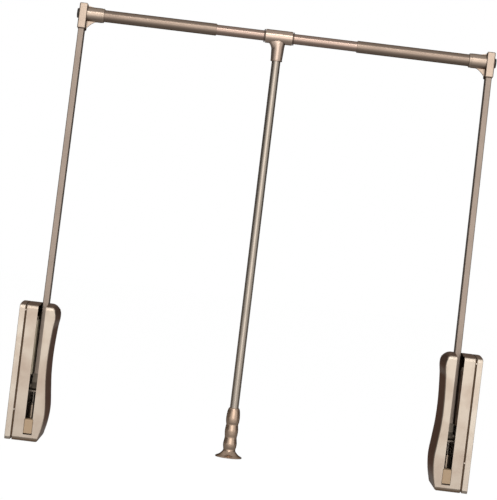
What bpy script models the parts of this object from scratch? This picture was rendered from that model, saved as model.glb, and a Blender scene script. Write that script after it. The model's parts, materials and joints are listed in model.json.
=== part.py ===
"""Pull-down wardrobe rod: two sprung side units, two arms, a telescopic bar and a pull handle.

The rest pose is the stowed one, with the arms up and leaning back a little.
X runs along the bar from the left cabinet wall, Y runs from the door to the back of
the cabinet, and Z is up. The origin is where the arms' swing axis meets the left wall.
"""

import math
from dataclasses import dataclass

import bmesh
import bpy
from mathutils import Matrix, Vector

MM = 0.001

# Overall layout
OPENING_WIDTH = 932.0 * MM
WALL_TO_ARM = 45.0 * MM
ARM_LENGTH = 771.0 * MM
REST_LEAN = math.radians(4.5)
SWING_ANGLE = math.radians(120.0)

# Clearances
FIT_GAP = 0.3 * MM
RUNNING_GAP = 0.6 * MM
CUT_OVERRUN = 1.0 * MM
WELD = 0.5 * MM

# Facets round a circle
TUBE_SIDES = 24
SMALL_SIDES = 16
SCREW_SIDES = 12

# Casing
CASE_HEIGHT = 266.0 * MM
CASE_DEPTH = 126.0 * MM
PIVOT_ABOVE_BOTTOM = 102.0 * MM
PIVOT_BEHIND_FRONT = 56.0 * MM
CASE_WALL = 2.4 * MM
BASE_WIDTH = 12.0 * MM
SEAM_GAP = 2.0 * MM
TONGUE_REACH = 4.0 * MM
TONGUE_WALL = 1.4 * MM
CORNER_RADIUS = 6.0 * MM
FRONT_ROUND = 4.5 * MM
SEAM_ROUND = 1.0 * MM
BACK_ROUND = 2.0 * MM
SEAM_TAB_HEIGHT = 3.0 * MM
SEAM_TAB_DEPTH = 3.0 * MM
SEAM_TAB_SHARES = (0.06, 0.77)

# The cover's inner side waves: each pair is a share of the height from the top,
# and a share of the widest front
COVER_REACH = 75.6 * MM
WAVE_SHARES = (
    (0.0, 0.930), (0.07, 0.985), (0.16, 0.950), (0.35, 0.911), (0.51, 0.918),
    (0.64, 0.959), (0.77, 1.0), (0.88, 0.971), (0.97, 0.901), (1.0, 0.860),
)
WAVE_STEPS = 18
CORNER_STEPS = 3
ROUND_STEPS = 3

# The arm's slot in the cover, and the cheeks beside it
SLOT_WIDTH = 16.0 * MM
SLOT_BOTTOM_ABOVE_BASE = 42.4 * MM
TOP_SLOT_BEHIND_ARM = 3.0 * MM
CHEEK_WALL = 1.8 * MM
CHEEK_DEPTH = 24.0 * MM
CHEEK_FROM_TOP = 27.0 * MM
CHEEK_HEIGHT = 110.0 * MM

# Arm
ARM_WIDTH = 14.0 * MM
ARM_DEPTH = 28.0 * MM
ARM_WALL = 1.5 * MM
ARM_END_STEPS = 6

# Arm root, which is a hub with a spigot for the arm
HUB_RADIUS = 12.0 * MM
NECK_HEIGHT = 26.0 * MM
SPIGOT_LENGTH = 34.0 * MM
PIN_DIAMETER = 8.0 * MM
PIN_HEAD_DIAMETER = 13.0 * MM
PIN_HEAD_HEIGHT = 2.4 * MM
PIN_TAIL = 3.0 * MM
RIVET_DIAMETER = 11.0 * MM
BUSH_WALL = 1.4 * MM
BUSH_FLANGE = 2.0 * MM
BUSH_FLANGE_THICKNESS = 1.0 * MM

# Gear on the arm and the rack that it drives
GEAR_MODULE = 2.0 * MM
GEAR_TEETH = 12
GEAR_WIDTH = 8.0 * MM
GEAR_HUB_RADIUS = 10.0 * MM
GEAR_HUB_LENGTH = 3.2 * MM
TOOTH_ADDENDUM_SHARE = 0.95
TOOTH_DEDENDUM_SHARE = 1.25
TOOTH_TIP_SHARE = 0.26
TOOTH_ROOT_SHARE = 0.62
RACK_WIDTH = 7.0 * MM
RACK_BACK = 9.5 * MM
RACK_TEETH = 7
RACK_TEETH_BELOW = 1.5
RACK_TOP_MARGIN = 3.0 * MM
FOOT_TOP_BELOW_PIVOT = 5.0 * MM
FOOT_THICKNESS = 3.0 * MM
FOOT_DEPTH = 12.4 * MM

# Lift spring round its guide, standing in a cup
SPRING_WIRE = 1.8 * MM
SPRING_MEAN_RADIUS = 4.9 * MM
SPRING_CURLS = 7
CURL_POINTS = 10
GUIDE_DIAMETER = 6.4 * MM
GUIDE_LENGTH = 42.0 * MM
CUP_OUTER = 15.0 * MM
CUP_INNER = 12.6 * MM
CUP_FLOOR = 3.0 * MM

# Damper
DAMPER_DIAMETER = 13.0 * MM
DAMPER_BELOW_TOP = 20.4 * MM
DAMPER_ABOVE_RACK = 26.0 * MM
DAMPER_ROD_DIAMETER = 5.0 * MM
DAMPER_HEADROOM = 6.0 * MM
DAMPER_END_WALL = 10.0 * MM
DAMPER_CLAMP_SHARE = 0.6
DAMPER_CLAMP_DEPTH = 17.5 * MM

# Steel bracket that carries the pivot
PLATE = 2.5 * MM
BRACKET_OUTER_FACE = 19.5 * MM
BRACKET_INNER_FACE = 57.0 * MM
BRACKET_BACK_INSET = 5.0 * MM
BRACKET_BOTTOM_ABOVE_BASE = 15.6 * MM
OUTER_PLATE_BELOW_TOP = 16.0 * MM
INNER_PLATE_TOP = 40.0 * MM
OUTER_PLATE_REACH = 28.0 * MM
INNER_PLATE_REACH = 14.0 * MM
FLOOR_REACH = 34.0 * MM
GUIDE_BLOCK_HEIGHT = 16.0 * MM
GUIDE_BLOCK_LIP = 4.2 * MM
GUIDE_BLOCK_DEPTH = 12.5 * MM

# Bumper under the slot, and the pad behind the stowed arm
BUMPER_WIDTH = 17.6 * MM
BUMPER_HEIGHT = 30.0 * MM
BUMPER_PROUD = 1.2 * MM
BUMPER_TOP_ROUND = 3.0 * MM
BUMPER_TAIL_HEIGHT = 14.0 * MM
REST_PAD_HEIGHT = 14.0 * MM
REST_PAD_DEPTH = 11.0 * MM
REST_PAD_BELOW_TOP = 46.0 * MM

# Screws
BRACKET_SCREW_DIAMETER = 4.4 * MM
BRACKET_SCREW_HEAD = 8.4 * MM
BRACKET_SCREW_HEAD_HEIGHT = 2.8 * MM
BOSS_DIAMETER = 14.0 * MM
BOSS_BACK_INSET = 62.0 * MM
BOSS_TOP_INSET = 34.0 * MM
BOSS_BOTTOM_INSET = 28.0 * MM

# Pegs on the cover that push into sockets in the base
PEG_DIAMETER = 7.0 * MM
PEG_INSET = 8.2 * MM
PEG_BACK_INSET = 14.0 * MM
PEG_FRONT_INSET = 36.0 * MM
SOCKET_WALL = 1.6 * MM
SOCKET_HEIGHT = 9.0 * MM

# Corner connector at the top of each arm
BLOCK_WIDTH = 17.0 * MM
BLOCK_DEPTH = 34.0 * MM
BLOCK_ABOVE_BAR = 20.0 * MM
BLOCK_BELOW_BAR = 33.0 * MM
BLOCK_ROUND = 2.0 * MM
SOCKET_DEPTH = 17.0 * MM
SLEEVE_LENGTH = 35.0 * MM
SLEEVE_DIAMETER = 30.0 * MM
SLEEVE_CHAMFER = 1.2 * MM
GUSSET_THICKNESS = 4.0 * MM
GUSSET_RUN_SHARE = 0.86
GUSSET_DIP_SHARE = 0.35
GUSSET_STEPS = 5
CAP_DIAMETER = 20.0 * MM
CAP_THICKNESS = 4.0 * MM
CAP_ROUND = 1.4 * MM
CAP_STEM_DIAMETER = 8.0 * MM
CAP_STEM_LENGTH = 5.0 * MM
LOCK_SCREW_DIAMETER = 4.0 * MM
LOCK_SCREW_HEAD = 7.0 * MM
LOCK_SCREW_HEAD_HEIGHT = 2.2 * MM

# Telescopic bar
OUTER_TUBE = 25.4 * MM
OUTER_TUBE_WALL = 1.4 * MM
CENTRE_TUBE = 22.0 * MM
CENTRE_TUBE_WALL = 1.4 * MM
CENTRE_BARE_LENGTH = 291.0 * MM
CENTRE_HIDDEN_LENGTH = 160.0 * MM
TUBE_LOCK_INSET = 14.0 * MM

# Tee on the bar, and the pull handle that hangs from it
TEE_OFFSET = -16.0 * MM
TEE_LENGTH = 56.0 * MM
TEE_DIAMETER = 28.4 * MM
TEE_CHAMFER = 0.8 * MM
STEM_TOP_DIAMETER = 26.0 * MM
STEM_END_DIAMETER = 24.0 * MM
STEM_BELOW_BAR = 50.0 * MM
STEM_FLARE = 5.0 * MM
STEM_FLARE_HEIGHT = 8.0 * MM
STEM_SOCKET = 30.0 * MM
COLLAR_DIAMETER = 27.4 * MM
COLLAR_WIDTH = 4.0 * MM
HANDLE_DIAMETER = 19.0 * MM
HANDLE_WALL = 1.5 * MM
HANDLE_BELOW_BAR = 873.0 * MM
GRIP_LENGTH = 107.0 * MM
GRIP_BORE_LENGTH = 84.0 * MM
GRIP_PLUG_DIAMETER = 38.0 * MM
GRIP_PLUG_THICKNESS = 3.0 * MM
FLANGE_DIAMETER = 54.0 * MM

# Grip outline: share of its length from the top, and share of the flange's radius
GRIP_SHARES = (
    (0.0, 0.385), (0.02, 0.43), (0.06, 0.475), (0.14, 0.508), (0.22, 0.520), (0.29, 0.508),
    (0.335, 0.487), (0.38, 0.500), (0.45, 0.527), (0.53, 0.508), (0.60, 0.485), (0.66, 0.500),
    (0.72, 0.522), (0.775, 0.508), (0.815, 0.490), (0.85, 0.520), (0.885, 0.625), (0.92, 0.80),
    (0.95, 0.92), (0.975, 0.985), (0.99, 1.0), (1.0, 0.975),
)


# Values that follow from the ones above
CASE_FRONT = -PIVOT_BEHIND_FRONT
CASE_BACK = CASE_FRONT + CASE_DEPTH
CASE_BOTTOM = -PIVOT_ABOVE_BOTTOM
CASE_TOP = CASE_BOTTOM + CASE_HEIGHT
COVER_START = BASE_WIDTH + SEAM_GAP
TONGUE_INSET = CASE_WALL + FIT_GAP
SLOT_BOTTOM = CASE_BOTTOM + SLOT_BOTTOM_ABOVE_BASE
SLOT_LOW = WALL_TO_ARM - SLOT_WIDTH / 2
SLOT_HIGH = WALL_TO_ARM + SLOT_WIDTH / 2
PITCH_RADIUS = GEAR_MODULE * GEAR_TEETH / 2
GEAR_PITCH = math.pi * GEAR_MODULE
RACK_TRAVEL = PITCH_RADIUS * SWING_ANGLE
ARM_LOW_FACE = WALL_TO_ARM - ARM_WIDTH / 2
ARM_HIGH_FACE = WALL_TO_ARM + ARM_WIDTH / 2
GEAR_HIGH = ARM_LOW_FACE - FIT_GAP
GEAR_TEETH_HIGH = GEAR_HIGH - GEAR_HUB_LENGTH
GEAR_TEETH_LOW = GEAR_TEETH_HIGH - GEAR_WIDTH
RACK_X = GEAR_TEETH_LOW + GEAR_WIDTH / 2
RACK_ROOT_Y = -(PITCH_RADIUS + GEAR_MODULE * TOOTH_DEDENDUM_SHARE)
RACK_FRONT_Y = RACK_ROOT_Y - RACK_BACK
RACK_MID_Y = (RACK_ROOT_Y + RACK_FRONT_Y) / 2
RACK_TOP = GEAR_PITCH * (RACK_TEETH - RACK_TEETH_BELOW) + RACK_TOP_MARGIN
DAMPER_LOW = RACK_TOP + DAMPER_ABOVE_RACK
DAMPER_HIGH = CASE_TOP - DAMPER_BELOW_TOP
FOOT_TOP = -FOOT_TOP_BELOW_PIVOT
FOOT_BOTTOM = FOOT_TOP - FOOT_THICKNESS
FOOT_BACK_Y = RACK_ROOT_Y - FIT_GAP
FOOT_FRONT_Y = FOOT_BACK_Y - FOOT_DEPTH
SPRING_Y = (FOOT_BACK_Y + FOOT_FRONT_Y) / 2
BRACKET_BOTTOM = CASE_BOTTOM + BRACKET_BOTTOM_ABOVE_BASE
FLOOR_TOP = BRACKET_BOTTOM + PLATE
BRACKET_BACK = CASE_BACK - BRACKET_BACK_INSET
CUP_BOTTOM = FLOOR_TOP + FIT_GAP
CUP_TOP = FOOT_BOTTOM - RACK_TRAVEL - RUNNING_GAP
SPRING_BOTTOM = CUP_BOTTOM + CUP_FLOOR + FIT_GAP
SPRING_TOP = FOOT_BOTTOM - FIT_GAP
BAR_Y = ARM_LENGTH * math.sin(REST_LEAN)
BAR_Z = ARM_LENGTH * math.cos(REST_LEAN)
BAR_MID = OPENING_WIDTH / 2
TEE_X = BAR_MID + TEE_OFFSET
LEFT_MOUTH = BAR_MID - CENTRE_BARE_LENGTH / 2
RIGHT_MOUTH = BAR_MID + CENTRE_BARE_LENGTH / 2
TUBE_END_FROM_ARM = BLOCK_WIDTH / 2 + FIT_GAP * 2


# Finishes: colour, roughness and metallic value
CHAMPAGNE = ((0.56, 0.46, 0.37, 1.0), 0.35, 0.45)
CHAMPAGNE_DARK = ((0.40, 0.31, 0.24, 1.0), 0.35, 0.45)
BRONZE_TUBE = ((0.42, 0.32, 0.25, 1.0), 0.32, 0.9)
BRIGHT_TUBE = ((0.60, 0.47, 0.38, 1.0), 0.2, 0.9)
CAST_FITTING = ((0.50, 0.38, 0.29, 1.0), 0.3, 0.85)
STEEL = ((0.50, 0.50, 0.50, 1.0), 0.35, 1.0)
SPRING_STEEL = ((0.35, 0.34, 0.33, 1.0), 0.3, 1.0)
DARK_PLASTIC = ((0.03, 0.025, 0.022, 1.0), 0.45, 0.0)
NYLON = ((0.75, 0.72, 0.66, 1.0), 0.5, 0.0)
BUFFER = ((0.47, 0.33, 0.21, 1.0), 0.6, 0.0)
RUBBER = ((0.05, 0.05, 0.05, 1.0), 0.8, 0.0)

AXIS_X = "x"
AXIS_Y = "y"
AXIS_Z = "z"


@dataclass(frozen=True)
class Side:
    """One end of the rod: its name, the place of its wall, and its direction inwards."""

    name: str
    wall_x: float
    inward: int

    @property
    def arm_x(self):
        return self.wall_x + self.inward * WALL_TO_ARM


LEFT = Side("left", 0.0, 1)
RIGHT = Side("right", OPENING_WIDTH, -1)


def clear_scene():
    """Remove what the scene holds."""
    for item in list(bpy.data.objects):
        bpy.data.objects.remove(item, do_unlink=True)


def make_material(name, finish):
    """Return a Principled material with a colour, a roughness and a metallic value."""
    colour, roughness, metallic = finish
    material = bpy.data.materials.new(name)
    material.use_nodes = True
    shader = material.node_tree.nodes["Principled BSDF"]
    shader.inputs["Base Color"].default_value = colour
    shader.inputs["Roughness"].default_value = roughness
    shader.inputs["Metallic"].default_value = metallic
    return material


def make_empty(name, location, lean=0.0, parent=None):
    """Return an empty that carries pieces, leaning about X."""
    empty = bpy.data.objects.new(name, None)
    empty.location = location
    empty.rotation_euler = (-lean, 0.0, 0.0)
    empty.parent = parent
    bpy.context.scene.collection.objects.link(empty)
    return empty


def islands(bm):
    """Return the mesh's faces, sorted into its separate bodies."""
    left = set(bm.faces)
    groups = []
    while left:
        stack = [left.pop()]
        group = []
        while stack:
            face = stack.pop()
            group.append(face)
            for edge in face.edges:
                for other in edge.link_faces:
                    if other in left:
                        left.remove(other)
                        stack.append(other)
        groups.append(group)
    return groups


def face_outwards(bm):
    """Turn each body's faces outwards, by the sign of its volume."""
    bmesh.ops.recalc_face_normals(bm, faces=bm.faces)
    for group in islands(bm):
        volume = 0.0
        for face in group:
            first = face.verts[0].co
            for second, third in zip(face.verts[1:], face.verts[2:]):
                volume += first.dot(second.co.cross(third.co))
        if volume < 0.0:
            bmesh.ops.reverse_faces(bm, faces=group)


def make_piece(name, bm, finish, parent=None, inward=1):
    """Turn a bmesh into a named object, mirrored along X where it faces the other way."""
    bmesh.ops.remove_doubles(bm, verts=bm.verts, dist=WELD / 100)
    if inward < 0:
        for vert in bm.verts:
            vert.co.x = -vert.co.x
    face_outwards(bm)
    mesh = bpy.data.meshes.new(name)
    bm.to_mesh(mesh)
    bm.free()
    mesh.shade_smooth()
    mesh.set_sharp_from_angle(angle=math.radians(32))
    piece = bpy.data.objects.new(name, mesh)
    piece.parent = parent
    bpy.context.scene.collection.objects.link(piece)
    if finish is not None:
        mesh.materials.append(make_material(name + "_finish", finish))
    return piece


def make_cutter(name, bm, piece, operation, inward=1):
    """Cut a hidden shape from a piece, or fuse it on."""
    cutter = make_piece(name, bm, None, piece.parent, inward)
    cutter.hide_render = True
    cutter.display_type = "WIRE"
    modifier = piece.modifiers.new(name, "BOOLEAN")
    modifier.operation = operation
    modifier.solver = "EXACT"
    modifier.object = cutter
    return cutter


def cut(piece, name, bm, inward=1):
    """Take a shape away from a piece."""
    return make_cutter(piece.name + "_" + name, bm, piece, "DIFFERENCE", inward)


def fuse(piece, name, bm, inward=1):
    """Add a shape to a piece."""
    return make_cutter(piece.name + "_" + name, bm, piece, "UNION", inward)


def soften(piece, width, steps=2):
    """Round a piece's sharp edges, before any cut."""
    modifier = piece.modifiers.new("rounded_edges", "BEVEL")
    modifier.width = width
    modifier.segments = steps
    modifier.limit_method = "ANGLE"
    modifier.angle_limit = math.radians(40)


def along(axis, station, first, second):
    """Return a point from a station on an axis and the two coordinates across it."""
    if axis == AXIS_X:
        return Vector((station, first, second))
    if axis == AXIS_Y:
        return Vector((second, station, first))
    return Vector((first, second, station))


def add_rings(bm, rings, closed=False):
    """Skin a run of rings of equal count, with caps at both ends or joined end to end."""
    rows = [[bm.verts.new(point) for point in ring] for ring in rings]
    count = len(rows[0])
    pairs = list(zip(rows, rows[1:]))
    if closed:
        pairs.append((rows[-1], rows[0]))
    for low, high in pairs:
        for i in range(count):
            j = (i + 1) % count
            bm.faces.new((low[i], low[j], high[j], high[i]))
    if not closed:
        bm.faces.new(list(reversed(rows[0])))
        bm.faces.new(rows[-1])
    return bm


def skin(rings, closed=False):
    """Return a closed solid through rings of points."""
    return add_rings(bmesh.new(), rings, closed)


def circle(axis, station, radius, sides, centre=(0.0, 0.0)):
    """Return a ring of points round an axis."""
    turn = 2 * math.pi / sides
    return [
        along(axis, station, centre[0] + radius * math.cos(i * turn), centre[1] + radius * math.sin(i * turn))
        for i in range(sides)
    ]


def add_rod(bm, axis, radius, start, end, sides=TUBE_SIDES, centre=(0.0, 0.0)):
    """Add a plain round rod."""
    return add_rings(bm, [circle(axis, start, radius, sides, centre), circle(axis, end, radius, sides, centre)])


def rod(axis, radius, start, end, sides=TUBE_SIDES, centre=(0.0, 0.0)):
    """Return a plain round rod."""
    return add_rod(bmesh.new(), axis, radius, start, end, sides, centre)


def turned(axis, profile, sides=TUBE_SIDES, centre=(0.0, 0.0), bored=False):
    """Return a turned solid from (radius, station) pairs; a bored one closes on itself."""
    return skin([circle(axis, station, radius, sides, centre) for radius, station in profile], closed=bored)


def add_tube(bm, axis, outer, inner, start, end, sides=TUBE_SIDES, centre=(0.0, 0.0)):
    """Add a round tube with square ends."""
    profile = ((outer, start), (outer, end), (inner, end), (inner, start))
    return add_rings(bm, [circle(axis, s, r, sides, centre) for r, s in profile], closed=True)


def tube(axis, outer, inner, start, end, sides=TUBE_SIDES, centre=(0.0, 0.0)):
    """Return a round tube with square ends."""
    return add_tube(bmesh.new(), axis, outer, inner, start, end, sides, centre)


def add_prism(bm, axis, outline, start, end):
    """Add an outline, given across an axis, drawn out along it."""
    return add_rings(bm, [[along(axis, s, a, b) for a, b in outline] for s in (start, end)])


def prism(axis, outline, start, end):
    """Return an outline drawn out along an axis."""
    return add_prism(bmesh.new(), axis, outline, start, end)


def add_box(bm, x_span, y_span, z_span):
    """Add a box between two places on each axis."""
    outline = [(x_span[0], y_span[0]), (x_span[1], y_span[0]), (x_span[1], y_span[1]), (x_span[0], y_span[1])]
    return add_prism(bm, AXIS_Z, outline, z_span[0], z_span[1])


def box(x_span, y_span, z_span):
    """Return a box between two places on each axis."""
    return add_box(bmesh.new(), x_span, y_span, z_span)


def rounded_rectangle(low, high, radius, steps=CORNER_STEPS):
    """Return a rectangle's outline with round corners, anticlockwise from its low corner."""
    corners = (
        (low[0] + radius, low[1] + radius, math.pi),
        (high[0] - radius, low[1] + radius, 1.5 * math.pi),
        (high[0] - radius, high[1] - radius, 0.0),
        (low[0] + radius, high[1] - radius, 0.5 * math.pi),
    )
    points = []
    for a, b, begin in corners:
        for i in range(steps + 1):
            angle = begin + 0.5 * math.pi * i / steps
            points.append((a + radius * math.cos(angle), b + radius * math.sin(angle)))
    return points


def stadium(width, depth, steps=ARM_END_STEPS):
    """Return a flat oval outline: straight sides and half-round ends."""
    radius = width / 2
    reach = depth / 2 - radius
    points = []
    for centre, begin in ((reach, 0.0), (-reach, math.pi)):
        for i in range(steps + 1):
            angle = begin + math.pi * i / steps
            points.append((radius * math.cos(angle), centre + radius * math.sin(angle)))
    return points


def cover_reach(z):
    """Return how far the cover's front reaches from the wall at a height."""
    share = min(max((CASE_TOP - z) / CASE_HEIGHT, 0.0), 1.0)
    knots = WAVE_SHARES
    index = 0
    while index < len(knots) - 2 and share > knots[index + 1][0]:
        index += 1
    (at0, reach0), (at1, reach1) = knots[index], knots[index + 1]
    before = knots[max(index - 1, 0)]
    after = knots[min(index + 2, len(knots) - 1)]
    slope0 = (reach1 - before[1]) / (at1 - before[0])
    slope1 = (after[1] - reach0) / (after[0] - at0)
    span = at1 - at0
    t = (share - at0) / span
    value = (
        (2 * t**3 - 3 * t**2 + 1) * reach0
        + (t**3 - 2 * t**2 + t) * span * slope0
        + (3 * t**2 - 2 * t**3) * reach1
        + (t**3 - t**2) * span * slope1
    )
    return value * COVER_REACH


def cover_outline(inset, seam_inset):
    """Return the cover's front outline as (z, x) pairs, drawn in by an inset all round."""
    low = CASE_BOTTOM + inset
    high = CASE_TOP - inset
    radius = max(CORNER_RADIUS - inset, CORNER_RADIUS / 4)
    start = COVER_START + seam_inset
    points = [(low, start)]
    side_low = low + radius
    side_high = high - radius
    foot = cover_reach(side_low) - inset
    head = cover_reach(side_high) - inset
    for i in range(CORNER_STEPS):
        angle = 0.5 * math.pi * i / CORNER_STEPS
        points.append((side_low - radius * math.cos(angle), foot - radius + radius * math.sin(angle)))
    for i in range(WAVE_STEPS + 1):
        z = side_low + (side_high - side_low) * i / WAVE_STEPS
        points.append((z, cover_reach(z) - inset))
    for i in range(CORNER_STEPS):
        angle = 0.5 * math.pi * (i + 1) / CORNER_STEPS
        points.append((side_high + radius * math.sin(angle), head - radius + radius * math.cos(angle)))
    points.append((high, start))
    return points


def round_steps(radius, steps=ROUND_STEPS):
    """Return (inset, depth) pairs round a quarter circle, from the face to the side."""
    pairs = []
    for i in range(steps + 1):
        angle = 0.5 * math.pi * i / steps
        pairs.append((radius * (1 - math.sin(angle)), radius * (1 - math.cos(angle))))
    return pairs


# Casing


def build_base_shell(side, unit):
    """Build the wall half of the casing: a tray with bosses, a lap tongue and two seam tabs."""
    low = (CASE_FRONT, CASE_BOTTOM)
    high = (CASE_BACK, CASE_TOP)

    def ring(station, inset):
        corner = max(CORNER_RADIUS - inset, CORNER_RADIUS / 4)
        outline = rounded_rectangle(
            (low[0] + inset, low[1] + inset), (high[0] - inset, high[1] - inset), corner
        )
        return [along(AXIS_X, station, a, b) for a, b in outline]

    tongue_inner = TONGUE_INSET + TONGUE_WALL
    rings = [
        ring(0.0, SEAM_ROUND),
        ring(SEAM_ROUND, 0.0),
        ring(BASE_WIDTH - SEAM_ROUND, 0.0),
        ring(BASE_WIDTH, SEAM_ROUND),
        ring(BASE_WIDTH, TONGUE_INSET),
        ring(COVER_START + TONGUE_REACH, TONGUE_INSET),
        ring(COVER_START + TONGUE_REACH, tongue_inner),
        ring(CASE_WALL, tongue_inner),
    ]
    shell = make_piece(side.name + "_base_shell", skin(rings), CHAMPAGNE_DARK, unit, side.inward)

    bosses = bmesh.new()
    for y, z in boss_places():
        add_rod(
            bosses, AXIS_X, BOSS_DIAMETER / 2, CASE_WALL - WELD, BRACKET_OUTER_FACE - FIT_GAP,
            SMALL_SIDES, (y, z),
        )
    fuse(shell, "bosses", bosses, side.inward)

    tabs = bmesh.new()
    for share in SEAM_TAB_SHARES:
        middle = CASE_TOP - share * CASE_HEIGHT
        add_box(
            tabs,
            (BASE_WIDTH - WELD * 3, COVER_START - FIT_GAP),
            (CASE_FRONT + SEAM_ROUND, CASE_FRONT + SEAM_TAB_DEPTH),
            (middle - SEAM_TAB_HEIGHT / 2, middle + SEAM_TAB_HEIGHT / 2),
        )
    fuse(shell, "tabs", tabs, side.inward)

    sockets = bmesh.new()
    for place in peg_places():
        inner = PEG_DIAMETER / 2 + FIT_GAP
        add_tube(
            sockets, AXIS_X, inner + SOCKET_WALL, inner, CASE_WALL - WELD, CASE_WALL + SOCKET_HEIGHT,
            SMALL_SIDES, place,
        )
    fuse(shell, "sockets", sockets, side.inward)

    holes = bmesh.new()
    for place in boss_places():
        add_rod(
            holes, AXIS_X, BRACKET_SCREW_DIAMETER / 2 + FIT_GAP, -CUT_OVERRUN,
            BRACKET_OUTER_FACE + CUT_OVERRUN, SCREW_SIDES, place,
        )
    cut(shell, "screw_holes", holes, side.inward)
    return shell


def boss_places():
    """Return where the bracket is screwed down, upper and lower, as (y, z) pairs."""
    middle = CASE_BACK - BOSS_BACK_INSET
    return ((middle, CASE_TOP - BOSS_TOP_INSET), (middle, CASE_BOTTOM + BOSS_BOTTOM_INSET))


def peg_places():
    """Return where the cover's pegs stand in the base's sockets, as (y, z) pairs."""
    back = CASE_BACK - PEG_BACK_INSET
    front = CASE_FRONT + PEG_FRONT_INSET
    top = CASE_TOP - PEG_INSET
    bottom = CASE_BOTTOM + PEG_INSET
    return ((back, top), (back, bottom), (front, bottom))


def cover_ring(depth, inset):
    """Return one ring of the cover, at a depth and drawn in from its sides."""
    seam_inset = min(inset, SEAM_ROUND)
    return [along(AXIS_Y, depth, z, x) for z, x in cover_outline(inset, seam_inset)]


def build_cover_shell(side, unit):
    """Build the cover: slotted in front and on top, waved on its inner side, open at the seam."""
    rings = [cover_ring(CASE_FRONT + depth, inset) for inset, depth in round_steps(FRONT_ROUND)]
    rings += [
        cover_ring(CASE_BACK - depth, inset) for inset, depth in reversed(round_steps(BACK_ROUND, 2))
    ]
    shell = make_piece(side.name + "_cover_shell", skin(rings), CHAMPAGNE, unit, side.inward)

    def hollow_ring(depth, inset):
        outline = cover_outline(inset, 0.0)
        shifted = [(z, x if x > COVER_START else COVER_START - CUT_OVERRUN) for z, x in outline]
        return [along(AXIS_Y, depth, z, x) for z, x in shifted]

    inner_round = FRONT_ROUND - CASE_WALL
    hollow = skin([
        hollow_ring(CASE_FRONT + CASE_WALL, CASE_WALL + inner_round),
        hollow_ring(CASE_FRONT + CASE_WALL + inner_round, CASE_WALL),
        hollow_ring(CASE_BACK - CASE_WALL, CASE_WALL),
    ])
    cut(shell, "hollow", hollow, side.inward)

    pegs = bmesh.new()
    for y, z in peg_places():
        reach = cover_reach(z) - CASE_WALL + WELD
        add_rod(pegs, AXIS_X, PEG_DIAMETER / 2, CASE_WALL + FIT_GAP, reach, SMALL_SIDES, (y, z))
    fuse(shell, "pegs", pegs, side.inward)

    cheeks = bmesh.new()
    cheek_top = CASE_TOP - CHEEK_FROM_TOP
    for near, far in ((SLOT_LOW, SLOT_LOW - CHEEK_WALL), (SLOT_HIGH, SLOT_HIGH + CHEEK_WALL)):
        add_box(
            cheeks,
            (min(near, far), max(near, far)),
            (CASE_FRONT + CASE_WALL - WELD, CASE_FRONT + CHEEK_DEPTH),
            (cheek_top - CHEEK_HEIGHT, cheek_top),
        )
    fuse(shell, "cheeks", cheeks, side.inward)

    slot = bmesh.new()
    add_box(
        slot,
        (SLOT_LOW, SLOT_HIGH),
        (CASE_FRONT - CUT_OVERRUN, CASE_FRONT + CASE_WALL + CUT_OVERRUN * 2),
        (SLOT_BOTTOM, CASE_TOP + CUT_OVERRUN),
    )
    cut(shell, "slot", slot, side.inward)

    arm_back = (ARM_DEPTH / 2) / math.cos(REST_LEAN) + CASE_TOP * math.tan(REST_LEAN)
    top_slot = box(
        (SLOT_LOW, SLOT_HIGH),
        (CASE_FRONT - CUT_OVERRUN, arm_back + TOP_SLOT_BEHIND_ARM),
        (CASE_TOP - CASE_WALL - CUT_OVERRUN, CASE_TOP + CUT_OVERRUN),
    )
    cut(shell, "top_slot", top_slot, side.inward)

    half = BUMPER_WIDTH / 2 + FIT_GAP
    window = box(
        (WALL_TO_ARM - half, WALL_TO_ARM + half),
        (CASE_FRONT - CUT_OVERRUN, CASE_FRONT + CASE_WALL + CUT_OVERRUN * 2),
        (SLOT_BOTTOM - BUMPER_HEIGHT - FIT_GAP, SLOT_BOTTOM + FIT_GAP),
    )
    cut(shell, "bumper_window", window, side.inward)
    return shell


# Steel bracket and what is fixed to it


def build_bracket(side, unit):
    """Build the folded steel bracket that carries the pivot pin."""
    inner = BRACKET_INNER_FACE + PLATE
    channel = (
        (BRACKET_OUTER_FACE, -OUTER_PLATE_REACH), (BRACKET_OUTER_FACE + PLATE, -OUTER_PLATE_REACH),
        (BRACKET_OUTER_FACE + PLATE, BRACKET_BACK - PLATE), (BRACKET_INNER_FACE, BRACKET_BACK - PLATE),
        (BRACKET_INNER_FACE, -INNER_PLATE_REACH), (inner, -INNER_PLATE_REACH),
        (inner, BRACKET_BACK), (BRACKET_OUTER_FACE, BRACKET_BACK),
    )
    bracket = make_piece(
        side.name + "_bracket", prism(AXIS_Z, channel, BRACKET_BOTTOM, INNER_PLATE_TOP), STEEL,
        unit, side.inward,
    )
    upper = box(
        (BRACKET_OUTER_FACE, BRACKET_OUTER_FACE + PLATE),
        (-OUTER_PLATE_REACH, BRACKET_BACK),
        (INNER_PLATE_TOP - WELD, CASE_TOP - OUTER_PLATE_BELOW_TOP),
    )
    fuse(bracket, "upper_plate", upper, side.inward)
    floor = box(
        (BRACKET_OUTER_FACE + PLATE - WELD, BRACKET_INNER_FACE + WELD),
        (-FLOOR_REACH, BRACKET_BACK - PLATE + WELD),
        (BRACKET_BOTTOM, FLOOR_TOP),
    )
    fuse(bracket, "floor", floor, side.inward)

    holes = bmesh.new()
    add_rod(
        holes, AXIS_X, PIN_DIAMETER / 2 + BUSH_WALL + FIT_GAP * 2, BRACKET_OUTER_FACE - CUT_OVERRUN,
        inner + CUT_OVERRUN, SMALL_SIDES,
    )
    for place in boss_places():
        add_rod(
            holes, AXIS_X, BRACKET_SCREW_DIAMETER / 2 + FIT_GAP, BRACKET_OUTER_FACE - CUT_OVERRUN,
            BRACKET_OUTER_FACE + PLATE + CUT_OVERRUN, SCREW_SIDES, place,
        )
    cut(bracket, "holes", holes, side.inward)
    return bracket


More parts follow.
